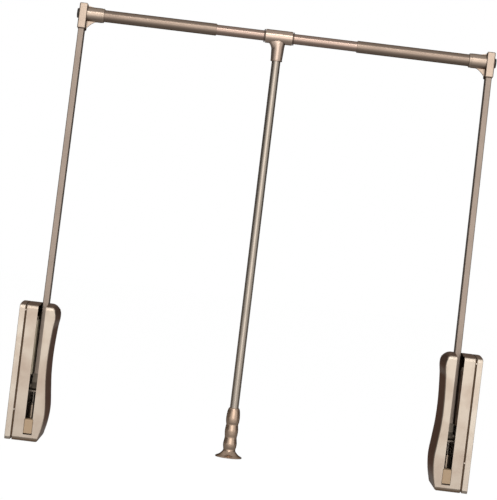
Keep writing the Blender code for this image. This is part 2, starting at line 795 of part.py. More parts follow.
def build_bracket_screws(side, unit):
    """Build the two screws through the bracket and the base, which go into the wall."""
    face = BRACKET_OUTER_FACE + PLATE + FIT_GAP
    profile = screw_profile(
        BRACKET_SCREW_DIAMETER, BRACKET_SCREW_HEAD, FIT_GAP * 2, face, BRACKET_SCREW_HEAD_HEIGHT,
    )
    for label, place in zip(("_upper_wall_screw", "_lower_wall_screw"), boss_places()):
        screw = turned(AXIS_X, profile, SCREW_SIDES, place)
        make_piece(side.name + label, screw, STEEL, unit, side.inward)


def build_pivot_bushes(side, unit):
    """Build the two flanged bushes that line the bracket's pivot holes."""
    bore = PIN_DIAMETER / 2 + FIT_GAP
    outer = bore + BUSH_WALL
    flange = outer + BUSH_FLANGE
    places = (
        ("_outer_bush", BRACKET_OUTER_FACE + PLATE, -1),
        ("_inner_bush", BRACKET_INNER_FACE, 1),
    )
    for label, face, way in places:
        lip = face - way * FIT_GAP
        edge = lip - way * BUSH_FLANGE_THICKNESS
        end = face + way * PLATE
        profile = ((bore, edge), (flange, edge), (flange, lip), (outer, lip), (outer, end), (bore, end))
        bush = turned(AXIS_X, profile, SMALL_SIDES, bored=True)
        make_piece(side.name + label, bush, NYLON, unit, side.inward)


def build_pivot_pin(side, unit):
    """Build the pivot pin, with a head inside and a riveted tail at the wall side."""
    face = BRACKET_INNER_FACE + PLATE + FIT_GAP
    seat = BRACKET_OUTER_FACE - FIT_GAP
    end = seat - PIN_TAIL
    head = face + PIN_HEAD_HEIGHT
    profile = (
        (PIN_DIAMETER / 2, end), (RIVET_DIAMETER / 2, end + PIN_TAIL / 3), (RIVET_DIAMETER / 2, seat),
        (PIN_DIAMETER / 2, seat), (PIN_DIAMETER / 2, face), (PIN_HEAD_DIAMETER / 2, face),
        (PIN_HEAD_DIAMETER / 2, head - PIN_HEAD_HEIGHT / 3), (PIN_HEAD_DIAMETER / 3, head),
    )
    pin = turned(AXIS_X, profile, SMALL_SIDES)
    return make_piece(side.name + "_pivot_pin", pin, STEEL, unit, side.inward)


def build_bumper(side, unit):
    """Build the buffer block that ends the slot, with a tail that sits on the bracket's floor."""
    front = CASE_FRONT - BUMPER_PROUD
    back = -FLOOR_REACH - FIT_GAP
    tail = SPRING_Y - CUP_OUTER / 2 - RUNNING_GAP
    low = SLOT_BOTTOM - BUMPER_HEIGHT
    tail_low = FLOOR_TOP + FIT_GAP
    outline = [
        (front, low), (back, low), (back, tail_low), (tail, tail_low),
        (tail, tail_low + BUMPER_TAIL_HEIGHT), (back, tail_low + BUMPER_TAIL_HEIGHT), (back, SLOT_BOTTOM),
    ]
    for i in range(CORNER_STEPS + 1):
        angle = 0.5 * math.pi * i / CORNER_STEPS
        outline.append((
            front + BUMPER_TOP_ROUND * (1 - math.sin(angle)),
            SLOT_BOTTOM - BUMPER_TOP_ROUND * (1 - math.cos(angle)),
        ))
    half = BUMPER_WIDTH / 2
    block = prism(AXIS_X, outline, WALL_TO_ARM - half, WALL_TO_ARM + half)
    return make_piece(side.name + "_slot_bumper", block, BUFFER, unit, side.inward)


def build_rest_pad(side, unit):
    """Build the rubber pad that the stowed arm leans on."""
    high = CASE_TOP - REST_PAD_BELOW_TOP + REST_PAD_HEIGHT / 2
    front = (ARM_DEPTH / 2) / math.cos(REST_LEAN) + high * math.tan(REST_LEAN) + FIT_GAP
    pad = box(
        (BRACKET_OUTER_FACE + PLATE + FIT_GAP, ARM_HIGH_FACE),
        (front, front + REST_PAD_DEPTH),
        (high - REST_PAD_HEIGHT, high),
    )
    return make_piece(side.name + "_rest_pad", pad, RUBBER, unit, side.inward)


def build_rack_guide(side, unit):
    """Build the nylon block that keeps the rack in mesh."""
    face = BRACKET_OUTER_FACE + PLATE + FIT_GAP
    rack_low = RACK_X - RACK_WIDTH / 2 - FIT_GAP
    rack_high = RACK_X + RACK_WIDTH / 2
    rack_front = RACK_FRONT_Y - FIT_GAP
    outline = (
        (face, rack_front - GUIDE_BLOCK_LIP), (rack_high, rack_front - GUIDE_BLOCK_LIP),
        (rack_high, rack_front), (rack_low, rack_front),
        (rack_low, rack_front + GUIDE_BLOCK_DEPTH - GUIDE_BLOCK_LIP),
        (face, rack_front + GUIDE_BLOCK_DEPTH - GUIDE_BLOCK_LIP),
    )
    block = prism(AXIS_Z, outline, 0.0, GUIDE_BLOCK_HEIGHT)
    return make_piece(side.name + "_rack_guide", block, NYLON, unit, side.inward)


def build_spring_cup(side, unit):
    """Build the cup that the lift spring stands in."""
    profile = (
        (CUP_OUTER / 2, CUP_BOTTOM), (CUP_OUTER / 2, CUP_TOP), (CUP_INNER / 2, CUP_TOP),
        (CUP_INNER / 2, CUP_BOTTOM + CUP_FLOOR),
    )
    cup = turned(AXIS_Z, profile, SMALL_SIDES, (WALL_TO_ARM, SPRING_Y))
    return make_piece(side.name + "_spring_cup", cup, CHAMPAGNE_DARK, unit, side.inward)


def spring_path():
    """Return the lift spring's points, from its foot to its head, with straight ends."""
    low = SPRING_BOTTOM
    high = SPRING_TOP
    first = low + SPRING_WIRE
    last = high - SPRING_WIRE
    count = SPRING_CURLS * CURL_POINTS
    points = [Vector((WALL_TO_ARM + SPRING_MEAN_RADIUS, SPRING_Y, low))]
    for i in range(count + 1):
        angle = 2 * math.pi * i / CURL_POINTS
        points.append(Vector((
            WALL_TO_ARM + SPRING_MEAN_RADIUS * math.cos(angle),
            SPRING_Y + SPRING_MEAN_RADIUS * math.sin(angle),
            first + (last - first) * i / count,
        )))
    points.append(Vector((WALL_TO_ARM + SPRING_MEAN_RADIUS, SPRING_Y, high)))
    return points


def least_gap(points, thickness):
    """Return the least gap between stretches of a path that lie over half a curl apart."""
    apart = CURL_POINTS // 2
    gaps = [
        (points[i] - points[j]).length - thickness
        for i in range(len(points))
        for j in range(i + apart, len(points))
    ]
    return min(gaps)


def build_spring(side, unit):
    """Build the lift spring as one unbroken tube."""
    name = side.name + "_lift_spring"
    points = spring_path()
    print(name, "least gap to itself:", round(least_gap(points, SPRING_WIRE) / MM, 2), "mm")
    curve = bpy.data.curves.new(name, "CURVE")
    curve.dimensions = "3D"
    curve.bevel_depth = SPRING_WIRE / 2
    curve.bevel_resolution = 1
    curve.use_fill_caps = True
    spline = curve.splines.new("POLY")
    spline.points.add(len(points) - 1)
    for slot, point in zip(spline.points, points):
        slot.co = (side.inward * point.x, point.y, point.z, 1.0)
    curve.materials.append(make_material(name + "_finish", SPRING_STEEL))
    spring = bpy.data.objects.new(name, curve)
    spring.parent = unit
    bpy.context.scene.collection.objects.link(spring)
    return spring


def build_damper_body(side, unit):
    """Build the damper's cylinder, open at its lower end."""
    bore = DAMPER_ROD_DIAMETER / 2 + FIT_GAP
    rim = DAMPER_DIAMETER / 2 - CASE_WALL / 4
    profile = (
        (bore, DAMPER_HIGH - DAMPER_END_WALL), (bore, DAMPER_LOW), (rim, DAMPER_LOW),
        (DAMPER_DIAMETER / 2, DAMPER_LOW + CASE_WALL / 4),
        (DAMPER_DIAMETER / 2, DAMPER_HIGH - CASE_WALL / 4), (rim, DAMPER_HIGH),
    )
    body = turned(AXIS_Z, profile, SMALL_SIDES, (RACK_X, RACK_MID_Y))
    return make_piece(side.name + "_damper_body", body, DARK_PLASTIC, unit, side.inward)


def build_damper_clamp(side, unit):
    """Build the clamp that holds the damper on the bracket, open towards the arm."""
    face = BRACKET_OUTER_FACE + PLATE + FIT_GAP
    radius = DAMPER_DIAMETER / 2 + FIT_GAP
    half = DAMPER_CLAMP_DEPTH / 2
    steps = SMALL_SIDES // 2
    outline = [
        (RACK_X, RACK_MID_Y + half), (face, RACK_MID_Y + half), (face, RACK_MID_Y - half),
        (RACK_X, RACK_MID_Y - half),
    ]
    for i in range(steps + 1):
        angle = -0.5 * math.pi - math.pi * i / steps
        outline.append((RACK_X + radius * math.cos(angle), RACK_MID_Y + radius * math.sin(angle)))
    middle = (DAMPER_LOW + DAMPER_HIGH) / 2
    reach = DAMPER_CLAMP_SHARE * (DAMPER_HIGH - DAMPER_LOW) / 2
    clamp = prism(AXIS_Z, outline, middle - reach, middle + reach)
    return make_piece(side.name + "_damper_clamp", clamp, NYLON, unit, side.inward)


# Rack, its guide pin and the damper's rod, which slide together


def build_rack(side, slide):
    """Build the rack with the foot that presses on the spring."""
    tooth_low = -RACK_TEETH_BELOW * GEAR_PITCH
    tip_y = -(PITCH_RADIUS - GEAR_MODULE * TOOTH_ADDENDUM_SHARE)
    outline = [(RACK_FRONT_Y, RACK_TOP), (RACK_FRONT_Y, tooth_low), (RACK_ROOT_Y, tooth_low)]
    for i in range(RACK_TEETH):
        middle = (i + 0.5) * GEAR_PITCH + tooth_low
        root = TOOTH_ROOT_SHARE * GEAR_PITCH / 2
        tip = TOOTH_TIP_SHARE * GEAR_PITCH / 2
        outline += [(RACK_ROOT_Y, middle - root), (tip_y, middle - tip), (tip_y, middle + tip),
                    (RACK_ROOT_Y, middle + root)]
    outline.append((RACK_ROOT_Y, RACK_TOP))
    bar = prism(AXIS_X, outline, RACK_X - RACK_WIDTH / 2, RACK_X + RACK_WIDTH / 2)
    rack = make_piece(side.name + "_rack", bar, STEEL, slide, side.inward)
    half = FOOT_DEPTH / 2
    foot = box(
        (RACK_X - RACK_WIDTH / 2, WALL_TO_ARM + half),
        (FOOT_FRONT_Y, FOOT_BACK_Y),
        (FOOT_BOTTOM, FOOT_TOP),
    )
    fuse(rack, "foot", foot, side.inward)
    return rack


def build_spring_guide(side, slide):
    """Build the pin inside the spring, which is fixed under the rack's foot."""
    high = FOOT_BOTTOM - FIT_GAP
    pin = rod(AXIS_Z, GUIDE_DIAMETER / 2, high - GUIDE_LENGTH, high, SMALL_SIDES, (WALL_TO_ARM, SPRING_Y))
    return make_piece(side.name + "_spring_guide", pin, BRONZE_TUBE, slide, side.inward)


def build_damper_rod(side, slide):
    """Build the damper's rod, which the rack pulls out of the cylinder."""
    low = RACK_TOP + FIT_GAP
    high = DAMPER_HIGH - DAMPER_END_WALL - DAMPER_HEADROOM
    shaft = rod(AXIS_Z, DAMPER_ROD_DIAMETER / 2, low, high, SCREW_SIDES, (RACK_X, RACK_MID_Y))
    return make_piece(side.name + "_damper_rod", shaft, STEEL, slide, side.inward)


# Arm assembly. Its own frame has the pivot at the origin, X from the arm's middle plane
# towards the other arm, and Z up the arm.


def build_arm_root(side, pivot):
    """Build the arm's root: a hub on the pivot pin, with a spigot inside the arm."""
    half = ARM_DEPTH / 2
    shoulder = HUB_RADIUS * 0.75
    outline = [(half, NECK_HEIGHT), (half, shoulder)]
    steps = SMALL_SIDES
    for i in range(steps + 1):
        angle = -math.pi * i / steps
        outline.append((HUB_RADIUS * math.cos(angle), HUB_RADIUS * math.sin(angle)))
    outline += [(-half, shoulder), (-half, NECK_HEIGHT)]
    body = prism(AXIS_X, outline, -ARM_WIDTH / 2, ARM_WIDTH / 2)
    root = make_piece(side.name + "_arm_root", body, CAST_FITTING, pivot, side.inward)
    thinner = 2 * (ARM_WALL + FIT_GAP)
    spigot = prism(
        AXIS_Z, stadium(ARM_WIDTH - thinner, ARM_DEPTH - thinner), NECK_HEIGHT - CUT_OVERRUN,
        NECK_HEIGHT + SPIGOT_LENGTH,
    )
    fuse(root, "spigot", spigot, side.inward)
    boss_end = BRACKET_INNER_FACE - FIT_GAP * 2 - BUSH_FLANGE_THICKNESS - WALL_TO_ARM
    boss = rod(AXIS_X, bush_flange_radius(), ARM_WIDTH / 2 - WELD, boss_end, SMALL_SIDES)
    fuse(root, "boss", boss, side.inward)
    bore = rod(
        AXIS_X, PIN_DIAMETER / 2 + FIT_GAP, -ARM_WIDTH / 2 - CUT_OVERRUN, boss_end + CUT_OVERRUN,
        SMALL_SIDES,
    )
    cut(root, "bore", bore, side.inward)
    return root


def bush_flange_radius():
    """Return the radius of a bush's flange, which the arm and the gear run against."""
    return PIN_DIAMETER / 2 + FIT_GAP + BUSH_WALL + BUSH_FLANGE


def gear_outline():
    """Return the gear's outline as (y, z) pairs, with a gap facing the rack at rest."""
    tip = PITCH_RADIUS + GEAR_MODULE * TOOTH_ADDENDUM_SHARE
    root = PITCH_RADIUS - GEAR_MODULE * TOOTH_DEDENDUM_SHARE
    step = 2 * math.pi / GEAR_TEETH
    tip_half = TOOTH_TIP_SHARE * GEAR_PITCH / (2 * tip)
    root_half = TOOTH_ROOT_SHARE * GEAR_PITCH / (2 * PITCH_RADIUS)
    outline = []
    for i in range(GEAR_TEETH):
        middle = math.pi + REST_LEAN + (i + 0.5) * step
        for radius, angle in (
            (root, middle - root_half), (tip, middle - tip_half),
            (tip, middle + tip_half), (root, middle + root_half),
        ):
            outline.append((radius * math.cos(angle), radius * math.sin(angle)))
    return outline


def build_gear(side, pivot):
    """Build the gear that turns with the arm and moves the rack."""
    low = GEAR_TEETH_LOW - WALL_TO_ARM
    high = GEAR_TEETH_HIGH - WALL_TO_ARM
    end = GEAR_HIGH - WALL_TO_ARM
    gear = make_piece(
        side.name + "_drive_gear", prism(AXIS_X, gear_outline(), low, high), STEEL, pivot, side.inward,
    )
    hub = rod(AXIS_X, GEAR_HUB_RADIUS, high - WELD, end, SMALL_SIDES)
    fuse(gear, "hub", hub, side.inward)
    boss_start = BRACKET_OUTER_FACE + PLATE + FIT_GAP * 2 + BUSH_FLANGE_THICKNESS - WALL_TO_ARM
    boss = rod(AXIS_X, bush_flange_radius(), boss_start, low + WELD, SMALL_SIDES)
    fuse(gear, "boss", boss, side.inward)
    bore = rod(
        AXIS_X, PIN_DIAMETER / 2 + FIT_GAP, boss_start - CUT_OVERRUN, end + CUT_OVERRUN, SMALL_SIDES,
    )
    cut(gear, "bore", bore, side.inward)
    return gear


def build_arm(side, pivot):
    """Build the flat oval arm tube."""
    start = NECK_HEIGHT + FIT_GAP
    end = ARM_LENGTH - BLOCK_BELOW_BAR + SOCKET_DEPTH
    outer = stadium(ARM_WIDTH, ARM_DEPTH)
    inner = stadium(ARM_WIDTH - 2 * ARM_WALL, ARM_DEPTH - 2 * ARM_WALL)
    rings = [
        [along(AXIS_Z, station, a, b) for a, b in outline]
        for outline, station in ((outer, start), (outer, end), (inner, end), (inner, start))
    ]
    return make_piece(side.name + "_arm", skin(rings, closed=True), BRONZE_TUBE, pivot, side.inward)


def gusset_outline(top):
    """Return a web's outline as (z, x) pairs, above the sleeve or below it."""
    way = 1 if top else -1
    far = (BLOCK_ABOVE_BAR if top else BLOCK_BELOW_BAR) - BLOCK_ROUND
    near = SLEEVE_DIAMETER / 2 - CUT_OVERRUN
    start = BLOCK_WIDTH / 2
    run = SLEEVE_LENGTH * GUSSET_RUN_SHARE
    points = [(ARM_LENGTH, start - CUT_OVERRUN), (ARM_LENGTH, start + run), (ARM_LENGTH + way * near, start + run)]
    for i in range(1, GUSSET_STEPS):
        share = i / GUSSET_STEPS
        straight = near + (far - near) * share
        dip = GUSSET_DIP_SHARE * (far - near) * math.sin(math.pi * share)
        points.append((ARM_LENGTH + way * (straight - dip), start + run * (1 - share)))
    points += [(ARM_LENGTH + way * far, start), (ARM_LENGTH + way * far, start - CUT_OVERRUN)]
    return points


def build_connector(side, pivot):
    """Build the corner fitting: a block on the arm's end, a sleeve for the bar and two webs."""
    half = BLOCK_WIDTH / 2
    block = box(
        (-half, half),
        (-BLOCK_DEPTH / 2, BLOCK_DEPTH / 2),
        (ARM_LENGTH - BLOCK_BELOW_BAR, ARM_LENGTH + BLOCK_ABOVE_BAR),
    )
    fitting = make_piece(side.name + "_corner_connector", block, CAST_FITTING, pivot, side.inward)
    soften(fitting, BLOCK_ROUND)
    sleeve_end = half + SLEEVE_LENGTH
    sleeve = turned(
        AXIS_X,
        (
            (SLEEVE_DIAMETER / 2, 0.0), (SLEEVE_DIAMETER / 2, sleeve_end - SLEEVE_CHAMFER),
            (SLEEVE_DIAMETER / 2 - SLEEVE_CHAMFER, sleeve_end),
        ),
        centre=(0.0, ARM_LENGTH),
    )
    fuse(fitting, "sleeve", sleeve, side.inward)
    for label, top in (("upper_web", True), ("lower_web", False)):
        outline = gusset_outline(top)
        web = prism(AXIS_Y, outline, -GUSSET_THICKNESS / 2, GUSSET_THICKNESS / 2)
        fuse(fitting, label, web, side.inward)
    bore = rod(
        AXIS_X, OUTER_TUBE / 2 + FIT_GAP, half + FIT_GAP, sleeve_end + CUT_OVERRUN,
        centre=(0.0, ARM_LENGTH),
    )
    cut(fitting, "bar_bore", bore, side.inward)
    wider = 2 * FIT_GAP
    low = ARM_LENGTH - BLOCK_BELOW_BAR
    socket = prism(
        AXIS_Z, stadium(ARM_WIDTH + wider, ARM_DEPTH + wider), low - CUT_OVERRUN,
        low + SOCKET_DEPTH + FIT_GAP,
    )
    cut(fitting, "arm_socket", socket, side.inward)
    cap_hole = rod(
        AXIS_X, CAP_STEM_DIAMETER / 2 + FIT_GAP, -half - CUT_OVERRUN,
        -half + CAP_STEM_LENGTH + FIT_GAP, SMALL_SIDES, (0.0, ARM_LENGTH),
    )
    cut(fitting, "cap_hole", cap_hole, side.inward)
    screw_x, screw_z = lock_screw_place()
    screw_hole = rod(
        AXIS_Y, LOCK_SCREW_DIAMETER / 2 + FIT_GAP, OUTER_TUBE / 2, SLEEVE_DIAMETER / 2 + CUT_OVERRUN,
        SCREW_SIDES, (screw_z, screw_x),
    )
    cut(fitting, "screw_hole", screw_hole, side.inward)
    return fitting


def lock_screw_place():
    """Return where the connector's screw holds the bar's tube, as (x, z)."""
    return BLOCK_WIDTH / 2 + SLEEVE_LENGTH / 2, ARM_LENGTH


def build_connector_cap(side, pivot):
    """Build the round cap on the connector's outer face."""
    face = -BLOCK_WIDTH / 2 - FIT_GAP
    profile = (
        (CAP_STEM_DIAMETER / 2, face + CAP_STEM_LENGTH), (CAP_STEM_DIAMETER / 2, face),
        (CAP_DIAMETER / 2, face), (CAP_DIAMETER / 2, face - CAP_THICKNESS + CAP_ROUND),
        (CAP_DIAMETER / 2 - CAP_ROUND, face - CAP_THICKNESS),
    )
    cap = turned(AXIS_X, profile, TUBE_SIDES, (0.0, ARM_LENGTH))
    return make_piece(side.name + "_connector_cap", cap, DARK_PLASTIC, pivot, side.inward)


def screw_profile(shank, head, tip, seat, head_height):
    """Return a screw's profile along an axis, from its tip to the top of its head."""
    return (
        (shank / 2, tip), (shank / 2, seat), (head / 2, seat),
        (head / 2, seat + head_height * 2 / 3), (head / 3, seat + head_height),
    )


def build_bar_screws(side, pivot):
    """Build the screws at the back of the bar: one in the connector, one at the tube's mouth."""
    screw_x, screw_z = lock_screw_place()
    places = (
        ("_connector_screw", screw_x, OUTER_TUBE / 2 + FIT_GAP, SLEEVE_DIAMETER / 2 + FIT_GAP),
        ("_tube_lock_screw", mouth_screw_x(), CENTRE_TUBE / 2 + FIT_GAP, OUTER_TUBE / 2 + FIT_GAP),
    )
    for label, x, tip, seat in places:
        profile = screw_profile(LOCK_SCREW_DIAMETER, LOCK_SCREW_HEAD, tip, seat, LOCK_SCREW_HEAD_HEIGHT)
        screw = turned(AXIS_Y, profile, SCREW_SIDES, (screw_z, x))
        make_piece(side.name + label, screw, STEEL, pivot, side.inward)


def mouth_screw_x():
    """Return the place of the screw that locks the telescopic tubes."""
    return LEFT_MOUTH - WALL_TO_ARM - TUBE_LOCK_INSET


def build_outer_tube(side, pivot):
    """Build the bar's outer tube, which is held in the corner connector."""
    sleeve = tube(
        AXIS_X, OUTER_TUBE / 2, OUTER_TUBE / 2 - OUTER_TUBE_WALL, TUBE_END_FROM_ARM,
        LEFT_MOUTH - WALL_TO_ARM, centre=(0.0, ARM_LENGTH),
    )
    piece = make_piece(side.name + "_outer_tube", sleeve, BRONZE_TUBE, pivot, side.inward)
    hole = rod(
        AXIS_Y, LOCK_SCREW_DIAMETER / 2 + FIT_GAP, CENTRE_TUBE / 2 - OUTER_TUBE_WALL,
        OUTER_TUBE / 2 + CUT_OVERRUN, SCREW_SIDES, (ARM_LENGTH, mouth_screw_x()),
    )
    cut(piece, "lock_hole", hole, side.inward)
    return piece


# Centre of the bar, and the handle


def build_centre_tube(bar):
    """Build the centre tube, which slides in both outer tubes."""
    half = CENTRE_BARE_LENGTH / 2 + CENTRE_HIDDEN_LENGTH
    body = tube(AXIS_X, CENTRE_TUBE / 2, CENTRE_TUBE / 2 - CENTRE_TUBE_WALL, -half, half)
    return make_piece("centre_tube", body, BRIGHT_TUBE, bar)


def build_tee_collars(bar):
    """Build the two rings that keep the tee in its place along the bar."""
    half = TEE_LENGTH / 2 + RUNNING_GAP
    for label, way in (("left", -1), ("right", 1)):
        start = TEE_OFFSET + way * half
        end = start + way * COLLAR_WIDTH
        ring = tube(AXIS_X, COLLAR_DIAMETER / 2, CENTRE_TUBE / 2 + FIT_GAP, start, end)
        make_piece(label + "_tee_collar", ring, CAST_FITTING, bar)


def build_tee(handle):
    """Build the tee that turns on the centre tube and holds the handle's rod."""
    half = TEE_LENGTH / 2
    radius = TEE_DIAMETER / 2
    profile = (
        (radius - TEE_CHAMFER, -half), (radius, -half + TEE_CHAMFER),
        (radius, half - TEE_CHAMFER), (radius - TEE_CHAMFER, half),
    )
    tee = make_piece("handle_tee", turned(AXIS_X, profile), CAST_FITTING, handle)
    stem = turned(AXIS_Z, (
        (STEM_END_DIAMETER / 2, -STEM_BELOW_BAR),
        (STEM_TOP_DIAMETER / 2, -radius - STEM_FLARE_HEIGHT),
        (STEM_TOP_DIAMETER / 2 + STEM_FLARE / 4, -radius - STEM_FLARE_HEIGHT / 2),
        (STEM_TOP_DIAMETER / 2 + STEM_FLARE / 2, -radius),
        (radius - TEE_CHAMFER, -radius / 2),
        (radius / 2, 0.0),
    ))
    fuse(tee, "stem", stem)
    bore = rod(AXIS_X, CENTRE_TUBE / 2 + FIT_GAP, -half - CUT_OVERRUN, half + CUT_OVERRUN)
    cut(tee, "bar_bore", bore)
    socket = rod(
        AXIS_Z, HANDLE_DIAMETER / 2 + FIT_GAP, -STEM_BELOW_BAR - CUT_OVERRUN,
        -STEM_BELOW_BAR + STEM_SOCKET,
    )
    cut(tee, "rod_socket", socket)
    hole = rod(
        AXIS_Y, LOCK_SCREW_DIAMETER / 2 + FIT_GAP, HANDLE_DIAMETER / 2,
        STEM_TOP_DIAMETER / 2 + CUT_OVERRUN, SCREW_SIDES, (tee_screw_z(), 0.0),
    )
    cut(tee, "screw_hole", hole)
    return tee


def tee_screw_z():
    """Return the height of the screw that holds the handle's rod in the tee."""
    return -STEM_BELOW_BAR + STEM_SOCKET / 2


def build_tee_screw(handle):
    """Build the screw at the back of the tee's stem."""
    profile = screw_profile(
        LOCK_SCREW_DIAMETER, LOCK_SCREW_HEAD, HANDLE_DIAMETER / 2 + FIT_GAP,
        STEM_TOP_DIAMETER / 2 + FIT_GAP, LOCK_SCREW_HEAD_HEIGHT,
    )
    screw = turned(AXIS_Y, profile, SCREW_SIDES, (tee_screw_z(), 0.0))
    return make_piece("tee_screw", screw, STEEL, handle)


def build_handle_rod(handle):
    """Build the long tube of the pull handle."""
    top = -STEM_BELOW_BAR + STEM_SOCKET - FIT_GAP
    bottom = -HANDLE_BELOW_BAR + GRIP_LENGTH - GRIP_BORE_LENGTH + FIT_GAP
    body = tube(AXIS_Z, HANDLE_DIAMETER / 2, HANDLE_DIAMETER / 2 - HANDLE_WALL, bottom, top)
    return make_piece("handle_rod", body, BRIGHT_TUBE, handle)


def build_grip(handle):
    """Build the grip with its three swells and its flared end."""
    top = -HANDLE_BELOW_BAR + GRIP_LENGTH
    bore = HANDLE_DIAMETER / 2 + FIT_GAP
    rim = GRIP_PLUG_DIAMETER / 2 + FIT_GAP
    recess = -HANDLE_BELOW_BAR + GRIP_PLUG_THICKNESS + FIT_GAP
    profile = [(bore, top - GRIP_BORE_LENGTH), (bore, top)]
    for share, reach in GRIP_SHARES:
        profile.append((max(reach * FLANGE_DIAMETER / 2, bore + FIT_GAP), top - share * GRIP_LENGTH))
    profile += [(rim, -HANDLE_BELOW_BAR), (rim, recess)]
    return make_piece("handle_grip", turned(AXIS_Z, profile), CAST_FITTING, handle)


def build_grip_plug(handle):
    """Build the plate that closes the grip's flared end."""
    low = -HANDLE_BELOW_BAR + FIT_GAP
    high = -HANDLE_BELOW_BAR + GRIP_PLUG_THICKNESS
    plug = rod(AXIS_Z, GRIP_PLUG_DIAMETER / 2, low, high)
    return make_piece("grip_plug", plug, DARK_PLASTIC, handle)


def build_side_unit(side):
    """Build one side unit at its wall, with its arm."""
    unit = make_empty(side.name + "_unit", (side.wall_x, 0.0, 0.0))
    build_base_shell(side, unit)
    build_cover_shell(side, unit)
    build_bracket(side, unit)
    build_bracket_screws(side, unit)
    build_pivot_bushes(side, unit)
    build_pivot_pin(side, unit)
    build_bumper(side, unit)
    build_rest_pad(side, unit)
    build_rack_guide(side, unit)
    build_spring_cup(side, unit)
    build_spring(side, unit)
    build_damper_body(side, unit)
    build_damper_clamp(side, unit)

    slide = make_empty(side.name + "_slide", (0.0, 0.0, 0.0), parent=unit)
    build_rack(side, slide)
    build_spring_guide(side, slide)
    build_damper_rod(side, slide)

    pivot = make_empty(side.name + "_pivot", (side.arm_x, 0.0, 0.0), REST_LEAN)
    build_arm_root(side, pivot)
    build_gear(side, pivot)
    build_arm(side, pivot)
    build_connector(side, pivot)
    build_connector_cap(side, pivot)
    build_bar_screws(side, pivot)
    build_outer_tube(side, pivot)


def build_centre():
    """Build the middle of the bar and the pull handle."""
    bar = make_empty("bar_axis", (BAR_MID, BAR_Y, BAR_Z), REST_LEAN)
    build_centre_tube(bar)
    build_tee_collars(bar)
    handle = make_empty("handle_pivot", (TEE_X, BAR_Y, BAR_Z))
    build_tee(handle)
    build_tee_screw(handle)
    build_handle_rod(handle)
    build_grip(handle)
    build_grip_plug(handle)


def main():
    """Build the whole part."""
    clear_scene()
    for side in (LEFT, RIGHT):
        build_side_unit(side)
    build_centre()


main()
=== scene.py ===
"""Pull-down wardrobe rod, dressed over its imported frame.

Two lacquered side units carry a flat oval arm each. A telescopic bar joins the arms, and a
pull handle hangs from a tee on the bar. Lengths are in metres: X runs from the left wall to
the right wall, Y from the door to the back, and Z is up.
"""

from __future__ import annotations

import json
import logging
import math
from collections.abc import Callable, Iterable, Sequence
from dataclasses import dataclass
from enum import Enum

import bmesh
import bpy
from mathutils import Matrix, Vector

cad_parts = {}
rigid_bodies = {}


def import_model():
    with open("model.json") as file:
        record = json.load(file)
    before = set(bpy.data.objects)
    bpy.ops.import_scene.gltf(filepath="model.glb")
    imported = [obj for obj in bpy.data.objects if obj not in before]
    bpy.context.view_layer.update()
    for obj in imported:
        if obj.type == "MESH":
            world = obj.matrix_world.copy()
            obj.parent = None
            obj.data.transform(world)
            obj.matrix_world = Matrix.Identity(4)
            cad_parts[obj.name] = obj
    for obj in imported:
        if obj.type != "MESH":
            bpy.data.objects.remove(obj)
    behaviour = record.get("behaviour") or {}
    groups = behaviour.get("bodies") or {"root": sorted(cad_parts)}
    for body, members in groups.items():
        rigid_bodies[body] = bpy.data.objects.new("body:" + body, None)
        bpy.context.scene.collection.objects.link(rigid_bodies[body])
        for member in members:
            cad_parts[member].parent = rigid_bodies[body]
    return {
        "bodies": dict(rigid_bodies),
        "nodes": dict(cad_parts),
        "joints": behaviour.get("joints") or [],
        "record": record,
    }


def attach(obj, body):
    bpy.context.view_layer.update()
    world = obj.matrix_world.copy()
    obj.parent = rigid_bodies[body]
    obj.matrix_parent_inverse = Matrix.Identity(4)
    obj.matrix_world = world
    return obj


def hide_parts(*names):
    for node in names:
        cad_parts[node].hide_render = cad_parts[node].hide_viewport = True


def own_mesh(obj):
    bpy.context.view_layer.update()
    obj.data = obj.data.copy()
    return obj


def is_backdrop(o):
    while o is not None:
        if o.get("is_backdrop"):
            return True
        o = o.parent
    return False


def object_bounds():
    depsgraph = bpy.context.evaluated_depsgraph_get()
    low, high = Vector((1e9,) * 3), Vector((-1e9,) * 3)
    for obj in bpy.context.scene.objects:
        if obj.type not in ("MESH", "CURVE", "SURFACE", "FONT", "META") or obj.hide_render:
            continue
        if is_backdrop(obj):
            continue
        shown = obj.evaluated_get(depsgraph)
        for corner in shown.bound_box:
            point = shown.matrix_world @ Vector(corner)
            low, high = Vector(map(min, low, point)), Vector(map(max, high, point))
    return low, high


LOG = logging.getLogger("wardrobe_rod")
MM = 0.001
# The clearance of pieces that fit, a tube's rounded rim, how far a cut overruns, and a screw hole's radius.
GAP = 0.3 * MM
TUBE_LIP = 0.3 * MM
OVER = 1.0 * MM
SCREW_BORE = 2.3 * MM
# These turn a shape's own Z to the row's X, and to the back.
TURNED_TO_X = Matrix.Rotation(math.radians(90), 4, "Y")
TURNED_TO_BACK = Matrix.Rotation(math.radians(-90), 4, "X")
Colour = tuple[float, float, float]
Pair = tuple[float, float]
Ring = list[Vector]
Mesh = bpy.types.Mesh
Tree = bpy.types.NodeTree
Node = bpy.types.Node
Socket = bpy.types.NodeSocket
Sockets = bpy.types.NodeOutputs
WHITE: Colour = (1.0, 1.0, 1.0)


class Hand(Enum):
    """The two ends of the rod."""

    LEFT = "left"
    RIGHT = "right"

    @property
    def inward(self) -> int:
        """The sign of the direction from this end's wall to the middle."""
        return 1 if self is Hand.LEFT else -1

    def node(self, name: str) -> str:
        """Return the name of this end's node."""
        return f"{self.value}_{name}"


